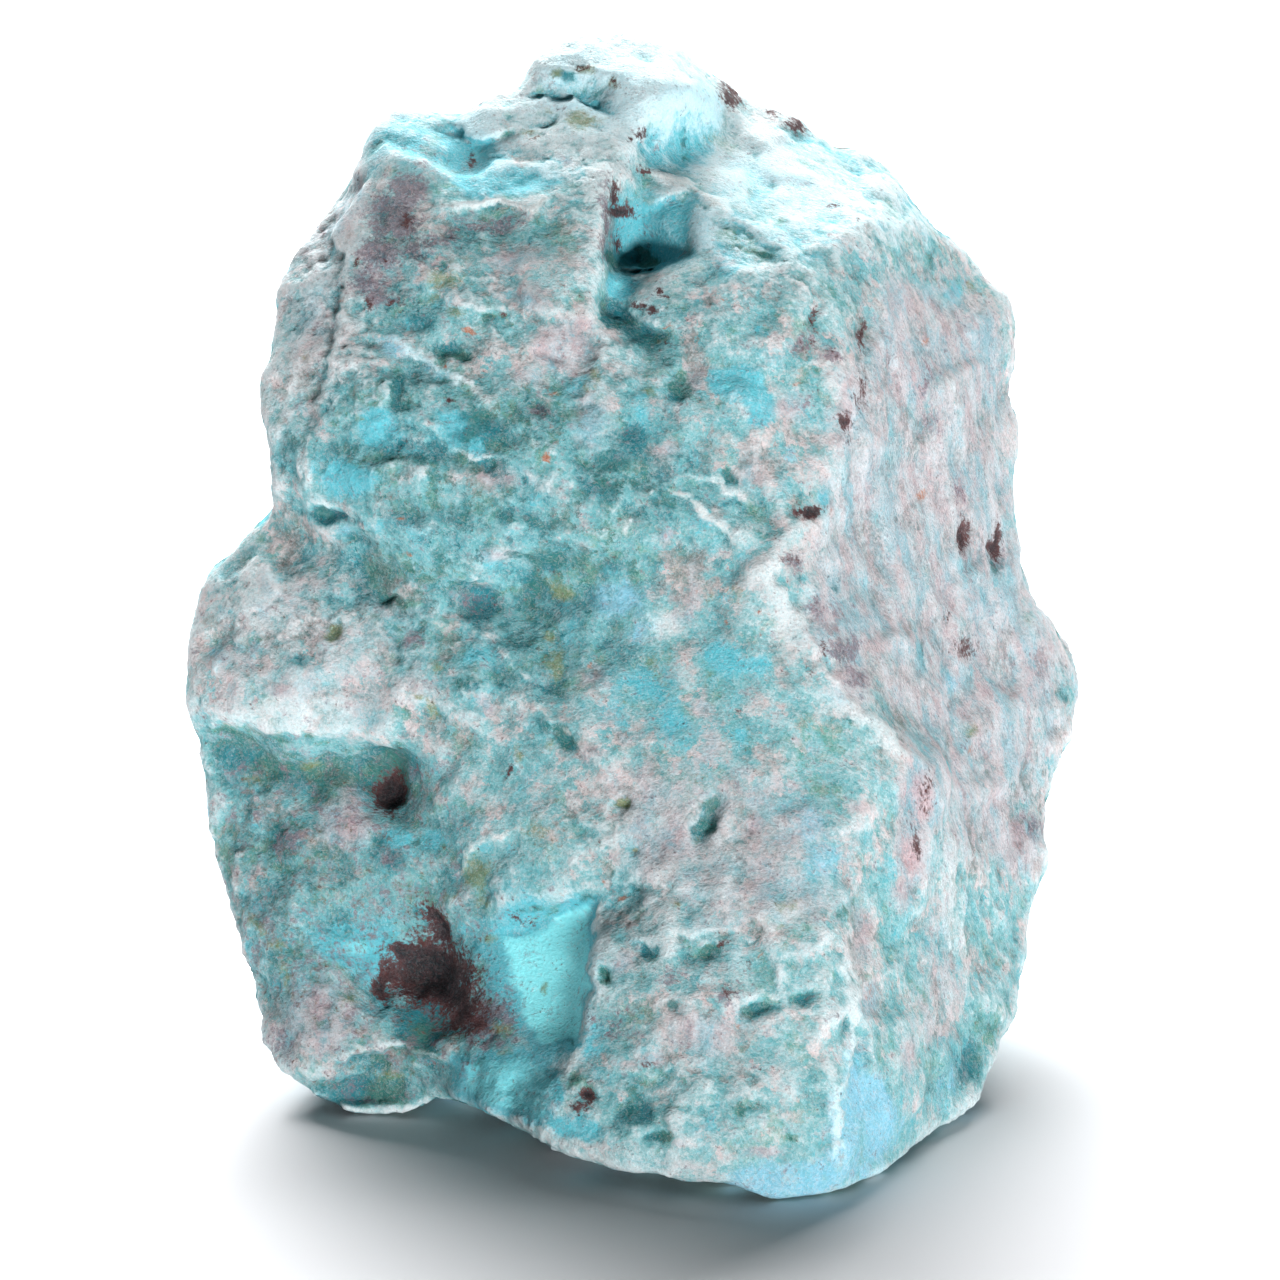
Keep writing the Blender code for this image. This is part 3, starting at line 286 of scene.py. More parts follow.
# Whole areas of each mineral: strength, rim, then the corners round it.
AREAS = {
    "turquoise": [
        (1.3, CRISP, [
            (-8.3, -17.4), (-6.2, -17.2), (-4.5, -15.7), (-2.8, -15.4), (-2.9, -19.5), (-3.3, -23.6),
            (-5.2, -24.0), (-6.7, -23.2), (-7.6, -20.5),
        ]),
        (0.8, CRISP, [
            (-1.4, 22.3), (2.2, 22.4), (3.0, 24.0), (3.6, 26.0), (1.8, 26.0), (0.0, 25.4), (-1.2, 24.6),
        ]),
        (0.55, CRISP, [(0.3, 28.0), (0.5, 31.0), (1.8, 32.6), (4.2, 32.6), (5.0, 30.0), (4.0, 28.2)]),
        (0.3, SOFT, [
            (3.8, 26.4), (5.0, 28.3), (9.5, 29.6), (14.5, 27.2), (16.5, 24.6), (13.5, 24.0), (9.5, 23.6),
            (6.6, 24.6),
        ]),
        (0.25, SOFT, [
            (-9.0, 30.0), (-3.0, 29.5), (0.0, 29.0), (4.0, 30.0), (5.0, 33.0), (2.0, 37.0), (-5.0, 37.0),
        ]),
        (0.3, SOFT, [
            (-17.0, 29.0), (-13.0, 27.5), (-8.0, 27.0), (-8.0, 31.0), (-12.0, 33.5), (-16.0, 33.0),
        ]),
        (1.0, CRISP, [
            (-11.0, -24.8), (-8.5, -24.2), (-6.0, -24.4), (-4.4, -26.5), (-5.5, -28.4), (-9.5, -27.5),
        ]),
        (0.35, SOFT, CLEFT_SILL),
    ],
    "sky": [
        (0.95, CRISP, [
            (4.0, -32.8), (6.0, -30.9), (10.5, -30.6), (11.4, -28.8), (12.4, -25.0), (14.4, -25.5),
            (15.6, -28.5), (13.5, -31.6), (9.5, -33.6),
        ]),
    ],
    "pink": [
        (0.55, SOFT, [
            (11.0, 13.0), (14.0, 22.0), (20.0, 21.0), (22.0, 17.0), (22.5, 6.0), (26.0, -1.0), (24.5, -7.0),
            (22.0, -13.0), (18.0, -13.0), (15.8, -6.5), (11.5, -1.0), (9.6, 2.0), (10.4, 8.0),
        ]),
        (0.45, SOFT, UPPER_LEFT_EDGE),
        (0.4, SOFT, [
            (-2.5, -8.0), (2.0, -7.0), (9.5, -7.5), (13.5, -12.0), (12.0, -18.0), (4.0, -17.0),
            (-1.5, -13.5),
        ]),
        (0.3, SOFT, LEFT_LOBE),
    ],
    "chalk": [
        (0.4, SOFT, UPPER_LEFT_EDGE),
        # The pale crust over the crown and the upper slope is partly a painted highlight: these tops are
        # lightened as light from above falls on them.
        (0.7, SOFT, [(-12.0, 31.5), (-10.0, 28.0), (-6.0, 27.0), (-1.0, 27.0), (0.0, 32.0), (-6.0, 34.0)]),
        (0.6, SOFT, CLEFT_SILL),
        (0.9, SOFT, [
            (-9.0, 30.0), (-3.0, 29.5), (3.8, 26.4), (9.5, 23.6), (16.5, 24.6), (14.5, 27.2), (9.5, 29.6),
            (5.0, 33.0), (2.0, 37.0), (-5.0, 37.0),
        ]),
        (0.3, SOFT, [(-4.0, -9.0), (3.0, -8.0), (6.0, -12.0), (5.0, -19.0), (-1.0, -20.0), (-2.6, -15.0)]),
        (0.12, SOFT, [
            (-2.2, -15.4), (3.0, -14.8), (10.0, -14.0), (12.5, -18.0), (12.0, -27.0), (3.0, -30.0),
            (-2.0, -28.0), (-3.0, -22.0),
        ]),
        (0.12, SOFT, LEFT_LOBE),
    ],
    # Dark washes: the first, under the left lobe, and the second, over the lower left that faces away from
    # the light, are painted shade; the third darkens the middle left.
    "deep": [
        (0.85, SOFT, [
            (-25.5, -5.4), (-20.0, -6.3), (-14.5, -6.6), (-12.6, -7.4), (-13.4, -9.4), (-19.0, -9.2),
            (-25.0, -8.2),
        ]),
        (0.35, SOFT, [
            (-25.0, -7.0), (-17.0, -7.4), (-12.0, -7.6), (-9.0, -14.0), (-9.0, -25.0), (-18.0, -27.5),
            (-23.0, -20.0), (-25.5, -12.0),
        ]),
        (0.42, SOFT, [
            (-19.0, 14.0), (-8.0, 15.0), (3.0, 14.0), (4.0, 8.0), (0.0, 2.0), (-5.0, -3.0), (-12.0, -1.0),
            (-18.0, 1.0),
        ]),
    ],
    # The violet and the olive washes over the lower left are partly stain and partly painted shade, darkening
    # the side that faces away from the light.
    "violet": [
        (0.25, SOFT, LOWER_LEFT),
    ],
    "ochre": [
        (0.3, SOFT, LOWER_LEFT),
    ],
}
# The sides away from the front: how large the patches of a mineral are, and how scarce it is. They gather in
# clusters, and are nowhere stronger than the last number.
ELSEWHERE = {
    "deep": (5.5, -0.55),
    "chalk": (4.5, 1.4),
    "pink": (4.5, 0.8),
    "violet": (4.5, 0.95),
    "rust": (2.2, 1.25),
    "orange": (2.2, 1.5),
    "ochre": (2.2, 1.3),
}
ANY_OTHER = (4.5, 0.5)
CLUSTER = 12
STRONGEST = 1.2
# Fine veins and pale rims, which stand a little proud: strength, half width, then the line's points.
VEINS = [
    (0.65, 0.2, [
        (-12.0, 1.0), (-10.0, 0.7), (-8.6, 0.0), (-7.5, -1.4), (-6.4, -3.0), (-5.5, -4.4), (-4.3, -5.4),
        (-3.4, -6.4), (-2.4, -7.3),
    ]),
    (0.8, 0.25, [(-10.5, -13.4), (-9.5, -12.0), (-8.5, -11.4), (-7.2, -11.1)]),
    (0.7, 0.25, [(-2.2, -15.6), (-2.7, -18.0), (-3.0, -21.0), (-3.4, -23.8), (-4.2, -25.2)]),
    (0.7, 0.2, [(12.9, -19.5), (12.6, -23.0), (12.2, -26.0), (11.5, -29.5)]),
    (0.5, 0.2, [(13.8, -15.0), (13.6, -18.0), (13.2, -21.5)]),
    (0.6, 0.3, [(-17.8, 27.0), (-17.3, 22.0), (-17.4, 19.0), (-18.3, 16.0), (-19.2, 13.0), (-19.5, 9.5)]),
    (0.8, 0.25, [(-10.8, 25.2), (-9.0, 25.8), (-7.2, 25.7), (-6.2, 25.2), (-5.6, 25.9)]),
    (0.6, 0.25, [(-15.6, 17.9), (-13.6, 16.9), (-12.2, 15.8), (-10.6, 15.2), (-9.2, 14.2)]),
    (0.5, 0.2, [(-13.2, 18.4), (-12.5, 17.2), (-11.7, 15.9)]),
    (0.5, 0.25, [(-13.4, 13.2), (-12.2, 12.3), (-11.0, 11.2), (-9.4, 10.7), (-7.4, 10.4)]),
    (0.7, 0.25, [(1.8, 8.7), (3.4, 7.8), (4.6, 6.9), (5.8, 5.3)]),
    (0.5, 0.2, [(3.0, 9.7), (5.0, 8.8), (6.7, 8.1)]),
    (0.5, 0.2, [(0.0, 8.5), (1.4, 9.0), (2.6, 9.9)]),
    (0.8, 0.25, [(0.2, 27.5), (2.0, 27.0), (3.6, 26.2), (5.2, 25.4)]),
    (0.6, 0.25, [
        (7.0, 4.2), (8.6, 2.6), (10.0, 0.2), (11.2, -2.2), (13.0, -4.0), (14.6, -5.4), (17.2, -7.8),
    ]),
]
# Small hollows: ovals with their depth in millimetres.
HOLLOWS = [
    (4.0, -10.6, 0.6, 1.5, 0.8, -22), (-1.1, -9.7, 0.5, 0.4, 0.5), (-0.3, -12.4, 0.4, 0.4, 0.4),
    (-18.2, 0.7, 0.9, 0.7, 0.7), (-14.9, 2.5, 0.9, 0.45, 0.6, -25), (6.9, -21.8, 1.0, 0.5, 0.7, 10),
    (-14.7, -8.4, 1.2, 1.8, 0.6), (-18.3, 7.2, 1.4, 0.5, 0.6, -12), (-9.6, 13.0, 1.4, 0.8, 0.35, -30),
    (-11.2, 17.0, 1.3, 0.45, 0.45, -15), (-14.2, 14.6, 0.6, 1.0, 0.35, 10), (-8.8, 19.0, 0.6, 0.35, 0.4),
    (-3.0, -26.7, 0.7, 0.6, 0.4), (-0.5, -27.4, 1.8, 1.2, 0.45, -15), (4.0, -18.4, 1.3, 0.4, 0.45, 15),
    (-12.2, -19.9, 1.6, 1.2, 0.5, -20), (-15.1, -20.3, 0.6, 1.0, 0.4, 10),
    (-11.9, -17.0, 0.5, 1.5, 0.35, 22), (2.2, 14.7, 0.8, 0.9, 0.35), (-2.0, 10.2, 1.6, 1.2, 0.3),
    (10.4, 18.9, 0.35, 0.7, 0.35, 15), (-2.0, -19.7, 0.55, 0.5, 0.45), (9.6, -21.0, 0.7, 0.35, 0.4),
    (5.3, 9.5, 0.8, 0.4, 0.35, -35), (-4.5, -5.7, 0.9, 0.5, 0.35, -35), (-9.6, 2.3, 1.2, 1.0, 0.25),
    (21.0, 5.6, 0.4, 1.2, 0.4), (0.3, -18.3, 0.6, 0.35, 0.35), (2.0, -21.7, 0.5, 0.35, 0.3),
    (1.0, -29.4, 0.9, 0.5, 0.3, 10), (19.0, 6.1, 0.4, 1.1, 0.3, 5), (-5.9, 13.7, 0.5, 0.4, 0.3),
    (-16.4, -26.9, 2.4, 0.6, 0.5),
]
# How rough the break is: ovals with their roughness compared with the rest.
BREAKS = [
    (0.9, 24.4, 2.6, 2.4, 0.1), (-5.6, -19.6, 2.8, 4.2, 0.15), (6.0, -3.0, 8.0, 8.0, 0.35),
    (13.6, -27.0, 2.6, 5.5, 0.35), (8.0, -31.3, 6.0, 1.4, 0.35), (4.5, -23.0, 6.5, 6.0, 0.75),
    (7.5, 27.5, 5.0, 2.5, 0.45, -20), (-1.2, 20.9, 1.2, 0.7, 0.1), (2.4, 30.0, 2.0, 2.2, 0.2),
    (-20.0, -3.6, 4.0, 2.0, 0.4), (-11.5, 14.0, 5.5, 6.0, 1.35), (10.5, -10.0, 3.5, 5.0, 0.45),
    (18.5, 6.0, 5.5, 16.0, 0.6),
]
# Sharp steps in the break: depth in millimetres, how far it fades, then the line's points. The stone is sunk
# on the right-hand side of somebody who walks along them.
STEPS = [
    (0.8, 1.3, [(-2.2, 20.3), (-1.2, 19.6), (-0.4, 18.9), (0.6, 18.5), (1.6, 18.2), (2.3, 18.0)]),
    (2.2, 1.8, [(2.4, 22.4), (0.8, 21.9), (-0.2, 21.75), (-1.6, 22.0)]),
    (1.1, 1.5, [(-1.7, 21.8), (-1.6, 23.5), (-1.7, 25.0), (-1.9, 27.0)]),
    (0.4, 0.8, [(-0.8, 25.2), (0.8, 25.6), (2.0, 26.0), (3.6, 26.4)]),
    (0.22, 1.0, [(-0.4, 27.9), (1.5, 26.9), (4.0, 25.4), (6.4, 24.2), (9.3, 22.3)]),
    (0.7, 2.2, [(0.1, 27.9), (0.2, 30.0), (0.1, 31.8)]),
    (0.8, 1.6, [(-0.8, 30.9), (-2.0, 31.0), (-4.0, 31.8), (-5.8, 31.6), (-7.5, 32.0)]),
    (0.8, 1.1, [(-12.4, 30.0), (-10.5, 29.9), (-9.8, 29.3), (-8.2, 29.7), (-7.1, 30.2)]),
    (0.4, 0.8, [(-12.6, 24.8), (-11.0, 25.3), (-9.5, 25.6), (-8.0, 25.8), (-6.8, 25.5), (-5.9, 25.1)]),
    (0.35, 1.5, [(-17.3, 27.6), (-17.6, 24.0), (-17.4, 21.0), (-17.9, 18.0), (-18.6, 15.0), (-19.2, 11.8)]),
    (0.35, 0.8, [(-15.8, 18.0), (-13.6, 16.9), (-12.2, 15.9), (-10.6, 15.2), (-9.0, 14.1)]),
    (0.25, 0.6, [(-14.4, 21.2), (-12.6, 20.6), (-11.0, 19.9), (-9.4, 19.4), (-8.0, 19.4)]),
    (0.25, 0.6, [(-13.6, 13.2), (-12.2, 12.3), (-11.0, 11.2), (-9.4, 10.7), (-7.2, 10.4)]),
    (0.5, 0.6, [(-19.8, 7.9), (-18.4, 7.7), (-17.2, 7.3), (-16.2, 6.8)]),
    (0.3, 0.7, [(-9.0, 8.4), (-7.4, 7.8), (-5.6, 7.0), (-3.8, 6.9)]),
    (0.25, 0.6, [(-4.4, 12.2), (-2.6, 11.8), (-0.8, 12.6), (0.8, 13.0)]),
    (0.3, 0.7, [(0.8, 9.2), (2.6, 8.2), (4.6, 6.9), (6.0, 5.2)]),
    (0.25, 0.6, [(2.8, 9.9), (5.0, 8.9), (7.0, 8.0)]),
    (0.25, 0.5, [(5.8, 23.1), (7.5, 22.8), (9.0, 22.2)]),
    (0.55, 2.4, [(-2.6, -15.2), (-2.8, -18.0), (-3.0, -21.0), (-3.4, -23.8)]),
    (0.4, 1.0, [(-8.6, -17.4), (-6.4, -16.3), (-4.5, -15.5), (-2.6, -15.2)]),
    (0.8, 1.6, [(-18.4, -25.0), (-16.1, -24.3), (-13.9, -24.0), (-11.6, -24.7), (-10.6, -25.6)]),
    (0.4, 2.0, [
        (17.4, -8.0), (14.6, -5.4), (13.0, -4.0), (11.2, -2.2), (10.0, 0.2), (8.6, 2.6), (7.0, 4.4),
    ]),
    (0.35, 0.9, [(11.4, -29.7), (12.2, -26.0), (12.6, -23.0), (12.9, -19.3)]),
    (0.25, 1.0, [(10.6, 4.8), (12.0, 9.0), (12.6, 13.0), (12.5, 17.0), (11.4, 20.2)]),
    (0.3, 0.7, [(-2.4, -14.8), (-0.6, -14.2), (1.4, -14.6), (3.2, -15.4)]),
    (0.3, 0.6, [(1.4, -17.3), (3.2, -17.4), (5.0, -17.2), (6.8, -17.6)]),
    (0.3, 0.6, [(-1.6, -25.6), (0.4, -25.9), (2.2, -25.6)]),
    (0.15, 0.8, [(-12.4, 1.2), (-10.0, 0.7), (-8.6, 0.0), (-7.5, -1.4), (-6.4, -3.0), (-5.5, -4.4)]),
    (0.3, 0.8, [(-25.5, -4.6), (-22.6, -5.3), (-20.0, -5.8), (-17.0, -5.6), (-14.5, -6.3)]),
]


# ---- node wiring
class Value:
    """A value on a wire of a node tree; arithmetic on it adds Math nodes."""

    def __init__(self, tree, socket):
        self.tree = tree
        self.socket = socket

    def math(self, operation, *others):
        return node(self.tree, "ShaderNodeMath", {"operation": operation}, dict(enumerate((self, *others))))

    def __add__(self, other):
        return self.math("ADD", other)

    def __sub__(self, other):
        return self.math("SUBTRACT", other)

    def __mul__(self, other):
        return self.math("MULTIPLY", other)

    def __rsub__(self, other):
        return node(self.tree, "ShaderNodeMath", {"operation": "SUBTRACT"}, {0: other, 1: self})

    __radd__ = __add__
    __rmul__ = __mul__

    def out(self, name):
        return Value(self.tree, self.socket.node.outputs[name])

    def vector(self, operation, *others):
        sockets = dict(enumerate((self, *others)))
        return node(self.tree, "ShaderNodeVectorMath", {"operation": operation}, sockets)

    def scaled(self, size):
        return times(self.tree, self, size)

    def round_zero(self):
        """A colour of noise, 0 to 1, brought to -0.5 to 0.5."""
        return self.vector("SUBTRACT", (0.5, 0.5, 0.5))

    def three(self):
        """The three numbers of a vector."""
        parts = node(self.tree, "ShaderNodeSeparateXYZ", {}, {0: self})
        return [parts.out(axis) for axis in "XYZ"]


def node(tree, kind, settings=None, sockets=None):
    """Adds one node: its settings first, then the values or the wires of its sockets."""
    made = tree.nodes.new(kind)
    for name, setting in (settings or {}).items():
        setattr(made, name, setting)
    for name, given in (sockets or {}).items():
        if isinstance(name, int):
            socket = made.inputs[name]
        else:
            socket = next(s for s in made.inputs if s.name == name and s.enabled)
        if isinstance(given, Value):
            tree.links.new(given.socket, socket)
        else:
            socket.default_value = given
    shown = [s for s in made.outputs if s.enabled]
    return Value(tree, shown[0] if shown else None)


def times(tree, direction, size):
    """A direction drawn out by a size."""
    return node(tree, "ShaderNodeVectorMath", {"operation": "SCALE"}, {0: direction, "Scale": size})


def ramp(value, low, high):
    """0 below low, 1 above high, and a smooth rise between."""
    return node(
        value.tree, "ShaderNodeMapRange", {"interpolation_type": "SMOOTHSTEP"},
        {"Value": value, "From Min": low, "From Max": high},
    )


def cloud(place, scale, detail=3.0, roughness=0.5, shift=0.0, warp=0.0):
    """Soft noise round 0.5, in cells per millimetre."""
    moved = place.vector("ADD", (shift, shift * 0.7, -shift * 1.3)) if shift else place
    return node(
        place.tree, "ShaderNodeTexNoise", {},
        {"Vector": moved, "Scale": scale, "Detail": detail, "Roughness": roughness, "Distortion": warp},
    )


def cells(place, scale, settings=None, **sockets):
    """Cells of broken flakes, in cells per millimetre."""
    return node(place.tree, "ShaderNodeTexVoronoi", settings, {"Vector": place, "Scale": scale, **sockets})


def in_beds(place, stretch):
    """The same place in a space drawn out across the beds, so that noise read there lies along them."""
    across = place.vector("DOT_PRODUCT", BED_NORMAL).out("Value")
    return place.vector("ADD", times(place.tree, BED_NORMAL, across * (stretch - 1.0)))


# ---- the stone's skin
def made_plain(obj):
    """Turns an object's evaluated shape into its plain mesh."""
    graph = bpy.context.evaluated_depsgraph_get()
    done = bpy.data.meshes.new_from_object(obj.evaluated_get(graph), depsgraph=graph)
    obj.modifiers.clear()
    obj.data = done


def even_skin(cad):
    """The stone's solid as an even mesh of small faces, in millimetres, with its facets softened."""
    mesh = bmesh.new()
    mesh.from_mesh(cad.data)
    bmesh.ops.remove_doubles(mesh, verts=mesh.verts, dist=1e-6)
    bmesh.ops.scale(mesh, vec=(1 / MM,) * 3, verts=mesh.verts)
    data = bpy.data.meshes.new("stone")
    mesh.to_mesh(data)
    mesh.free()
    stone = bpy.data.objects.new("stone", data)
    bpy.context.scene.collection.objects.link(stone)
    even = stone.modifiers.new("even skin", "REMESH")
    even.mode = "VOXEL"
    even.voxel_size = SKIN_CELL
    soften = stone.modifiers.new("soften the facets", "SMOOTH")
    soften.iterations = FACET_SOFTENING
    made_plain(stone)
    return stone


def read_vectors(collection, name):
    """A named vector of every vertex, as rows of three."""
    numbers = np.zeros(len(collection) * 3, np.float32)
    collection.foreach_get(name, numbers)
    return numbers.reshape(-1, 3).astype(float)


def oval(spots, right, up, half_width, half_height, turn=0):
    """How near each spot is to an oval's middle: 1 there, 0.37 on its rim, and less outside."""
    angle = math.radians(turn)
    across = (spots[:, 0] - right) * math.cos(angle) + (spots[:, 1] - up) * math.sin(angle)
    along = (spots[:, 1] - up) * math.cos(angle) - (spots[:, 0] - right) * math.sin(angle)
    return np.exp(-((across / half_width) ** 2) - (along / half_height) ** 2)


def ovals(spots, marks):
    """Each oval mark's amount, and how near each spot is to its middle."""
    for right, up, half_width, half_height, amount, *turn in marks:
        yield amount, oval(spots, right, up, half_width, half_height, *turn)


def from_line(spots, points):
    """Each spot's distance from a line of points, its side of it, and how far it is to both ends."""
    nearest = np.full(len(spots), 1e9)
    side = np.zeros(len(spots))
    along = np.zeros(len(spots))
    walked = 0.0
    for start, end in zip(points, points[1:]):
        step = np.subtract(end, start)
        length = math.hypot(*step)
        share = np.clip((spots - start) @ step / length**2, 0, 1)
        away = spots - start - share[:, None] * step
        gap = np.linalg.norm(away, axis=1)
        closer = gap < nearest
        side[closer] = (step[1] * away[:, 0] - step[0] * away[:, 1])[closer]
        along[closer] = walked + share[closer] * length
        nearest[closer] = gap[closer]
        walked += length
    return nearest, side, along, walked - along


def inside(spots, corners, rim):
    """1 inside the corners, 0 outside, with a soft rim."""
    within = np.zeros(len(spots), bool)
    for (right, up), (next_right, next_up) in zip(corners, corners[1:] + corners[:1]):
        spans = (up > spots[:, 1]) != (next_up > spots[:, 1])
        if up != next_up:
            crossing = right + (next_right - right) * (spots[:, 1] - up) / (next_up - up)
            within ^= spans & (spots[:, 0] < crossing)
    nearest, *_ = from_line(spots, corners + corners[:1])
    return np.clip(0.5 + nearest * np.where(within, 1, -1) / rim, 0, 1)


def step_down(spots, depth, fade, points):
    """How far a step's line sinks the stone on its right-hand side, with a small proud lip on its left."""
    nearest, side, along, to_end = from_line(spots, points)
    ends = np.clip(np.minimum(along, to_end) / STEP_END, 0, 1)
    below = np.clip(0.5 + nearest * np.sign(side) / STEP_RIM, 0, 1)
    lip = np.exp(-nearest / STEP_RIM) * depth * -LIP_SHARE
    return (below * np.exp(-nearest / fade) * depth + (1 - below) * lip) * ends


def drawn_spots(places):
    """Where each place of the stone falls on the drawing plane, as the eye sees it."""
    offsets = places - np.array(CENTRE)
    relief = offsets @ np.array(TOWARDS_EYE)
    spread = (EYE_DISTANCE - relief) / EYE_DISTANCE
    return np.stack([offsets @ np.array(RIGHT) / spread, offsets @ np.array(UP) / spread], 1)


def wander(places, cell):
    """How far each place strays right and up, on cells of this size."""
    return np.array([noise.noise_vector(Vector(place) / cell)[:2] for place in places])


def mineral_in_front(spots, mineral):
    """How much of a mineral lies at each spot of the front: the strongest of its patches and areas."""
    amount = np.zeros(len(spots))
    for strength, near in ovals(spots, PATCHES[mineral]):
        amount = np.maximum(amount, strength * near)
    for strength, rim, corners in AREAS.get(mineral, []):
        amount = np.maximum(amount, strength * inside(spots, corners, rim))
    return amount


def mineral_elsewhere(places, mineral, shift):
    """How much of a mineral lies at each place away from the front: loose clusters of patches."""
    size, scarcity = ELSEWHERE.get(mineral, ANY_OTHER)
    places = [Vector(place) for place in places]
    patches = np.array([noise.fractal(place / size + shift, 1.0, 2.0, 3) for place in places])
    clusters = np.array([noise.noise(place / CLUSTER - shift) for place in places])
    return np.clip(patches * 2.4 + clusters - scarcity, 0, STRONGEST)


def store(data, name, numbers):
    """Keeps one number at every vertex, for the break and the finish to read."""
    layer = data.attributes.new(name, "FLOAT", "POINT")
    layer.data.foreach_set("value", np.asarray(numbers, np.float32))


def rise(amount, low, high):
    """0 below low, 1 above high, and an even rise between."""
    return np.clip((amount - low) / (high - low), 0, 1)


def mark_skin(stone):
    """Stores on the skin where each mineral, vein, hollow, step and kind of break lies."""
    data = stone.data
    places = read_vectors(data.vertices, "co")
    normals = read_vectors(data.vertex_normals, "vector")
    spots = drawn_spots(places)
    noise.seed_set(WANDER_SEED)
    wide = wander(places, WIDE_WANDER)
    narrow = wander(places, NARROW_WANDER)
    ragged = spots + wide * MARK_WANDER[0] + narrow * MARK_WANDER[1]
    ragged_steps = spots + wide * STEP_WANDER[0] + narrow * STEP_WANDER[1]
    front = rise(normals @ np.array(TOWARDS_EYE), *FRONT_BEGINS)
    away = front < 1
    for number, mineral in enumerate(PATCHES):
        amount = front * mineral_in_front(ragged, mineral)
        shift = Vector((31.7 * number, 5.3, 11.1 * number))
        amount[away] += (1 - front[away]) * mineral_elsewhere(places[away], mineral, shift)
        store(data, mineral, amount)

    veins = np.zeros(len(places))
    for strength, half_width, points in VEINS:
        nearest, *_ = from_line(ragged, points)
        veins = np.maximum(veins, strength * np.exp(-((nearest / half_width) ** 2)))
    store(data, "vein", veins * front)

    hollows = np.zeros(len(places))
    for depth, near in ovals(ragged, HOLLOWS):
        hollows = np.maximum(hollows, depth * near**1.5)
    store(data, "hollow", hollows * front)

    sunk = np.zeros(len(places))
    for depth, fade, points in STEPS:
        sunk += step_down(ragged_steps, depth, fade, points)
    store(data, "sunk", sunk * front)

    rough = np.ones(len(places))
    for roughness, near in ovals(spots, BREAKS):
        near = np.clip(2.2 * near, 0, 1) * front
        rough = rough * (1 - near) + roughness * near
    base = rise(-normals[:, 2], *BASE_BEGINS) * np.clip(BASE_TOP - places[:, 2], 0, 1)
    store(data, "rough", rough * (1 - base))


def broken_relief(place, size):
    """How proud the break stands at each place, in millimetres: flakes, ledges, chips, grain and pits."""
    beds = in_beds(place, 2.2)
    push = cloud(place, 0.45, 3).out("Color").round_zero()
    warped = beds.vector("ADD", push.scaled(3.2))
    swell = (cloud(place, 0.16, 2) - 0.5) * 2.0 * size("Swell")
    bowl = cells(warped, 0.34, {"feature": "SMOOTH_F1"}, Smoothness=0.25)
    scallops = (bowl - 0.45) * 2.0 * size("Scallops")
    step = (cloud(warped, 0.3, 3, 0.5, 5.0) * 9.0).math("FRACT")
    ledged = ramp(cloud(place, 0.15, 2, 0.5, 60.0), 0.42, 0.58)
    ledges = (ramp(step, 0.35, 0.65) - step) * size("Ledges") * ledged
    chip = cells(warped, 1.15)
    tilt = chip.out("Color").round_zero()
    lean = tilt.vector("DOT_PRODUCT", warped.vector("SUBTRACT", chip.out("Position"))).out("Value")
    chips = lean * 1.7 * size("Chips")
    grain = (cloud(beds, 1.1, 4, 0.65, 3.0) - 0.5) * 2.0 * size("Grain")
    pit = cells(warped, 0.5)
    chosen = ramp(node(place.tree, "FunctionNodeSeparateColor", {}, {0: pit.out("Color")}), 0.72, 0.95)
    pits = ramp(pit.out("Distance"), 0.42, 0.1) * chosen * size("Pits")
    return swell + scallops + ledges + chips + grain - pits


def kept(skin, name, kind, value):
    """The skin with a value stored on it under a name."""
    return node(
        skin.tree, "GeometryNodeStoreNamedAttribute", {"data_type": kind},
        {"Geometry": skin, "Name": name, "Value": value},
    )


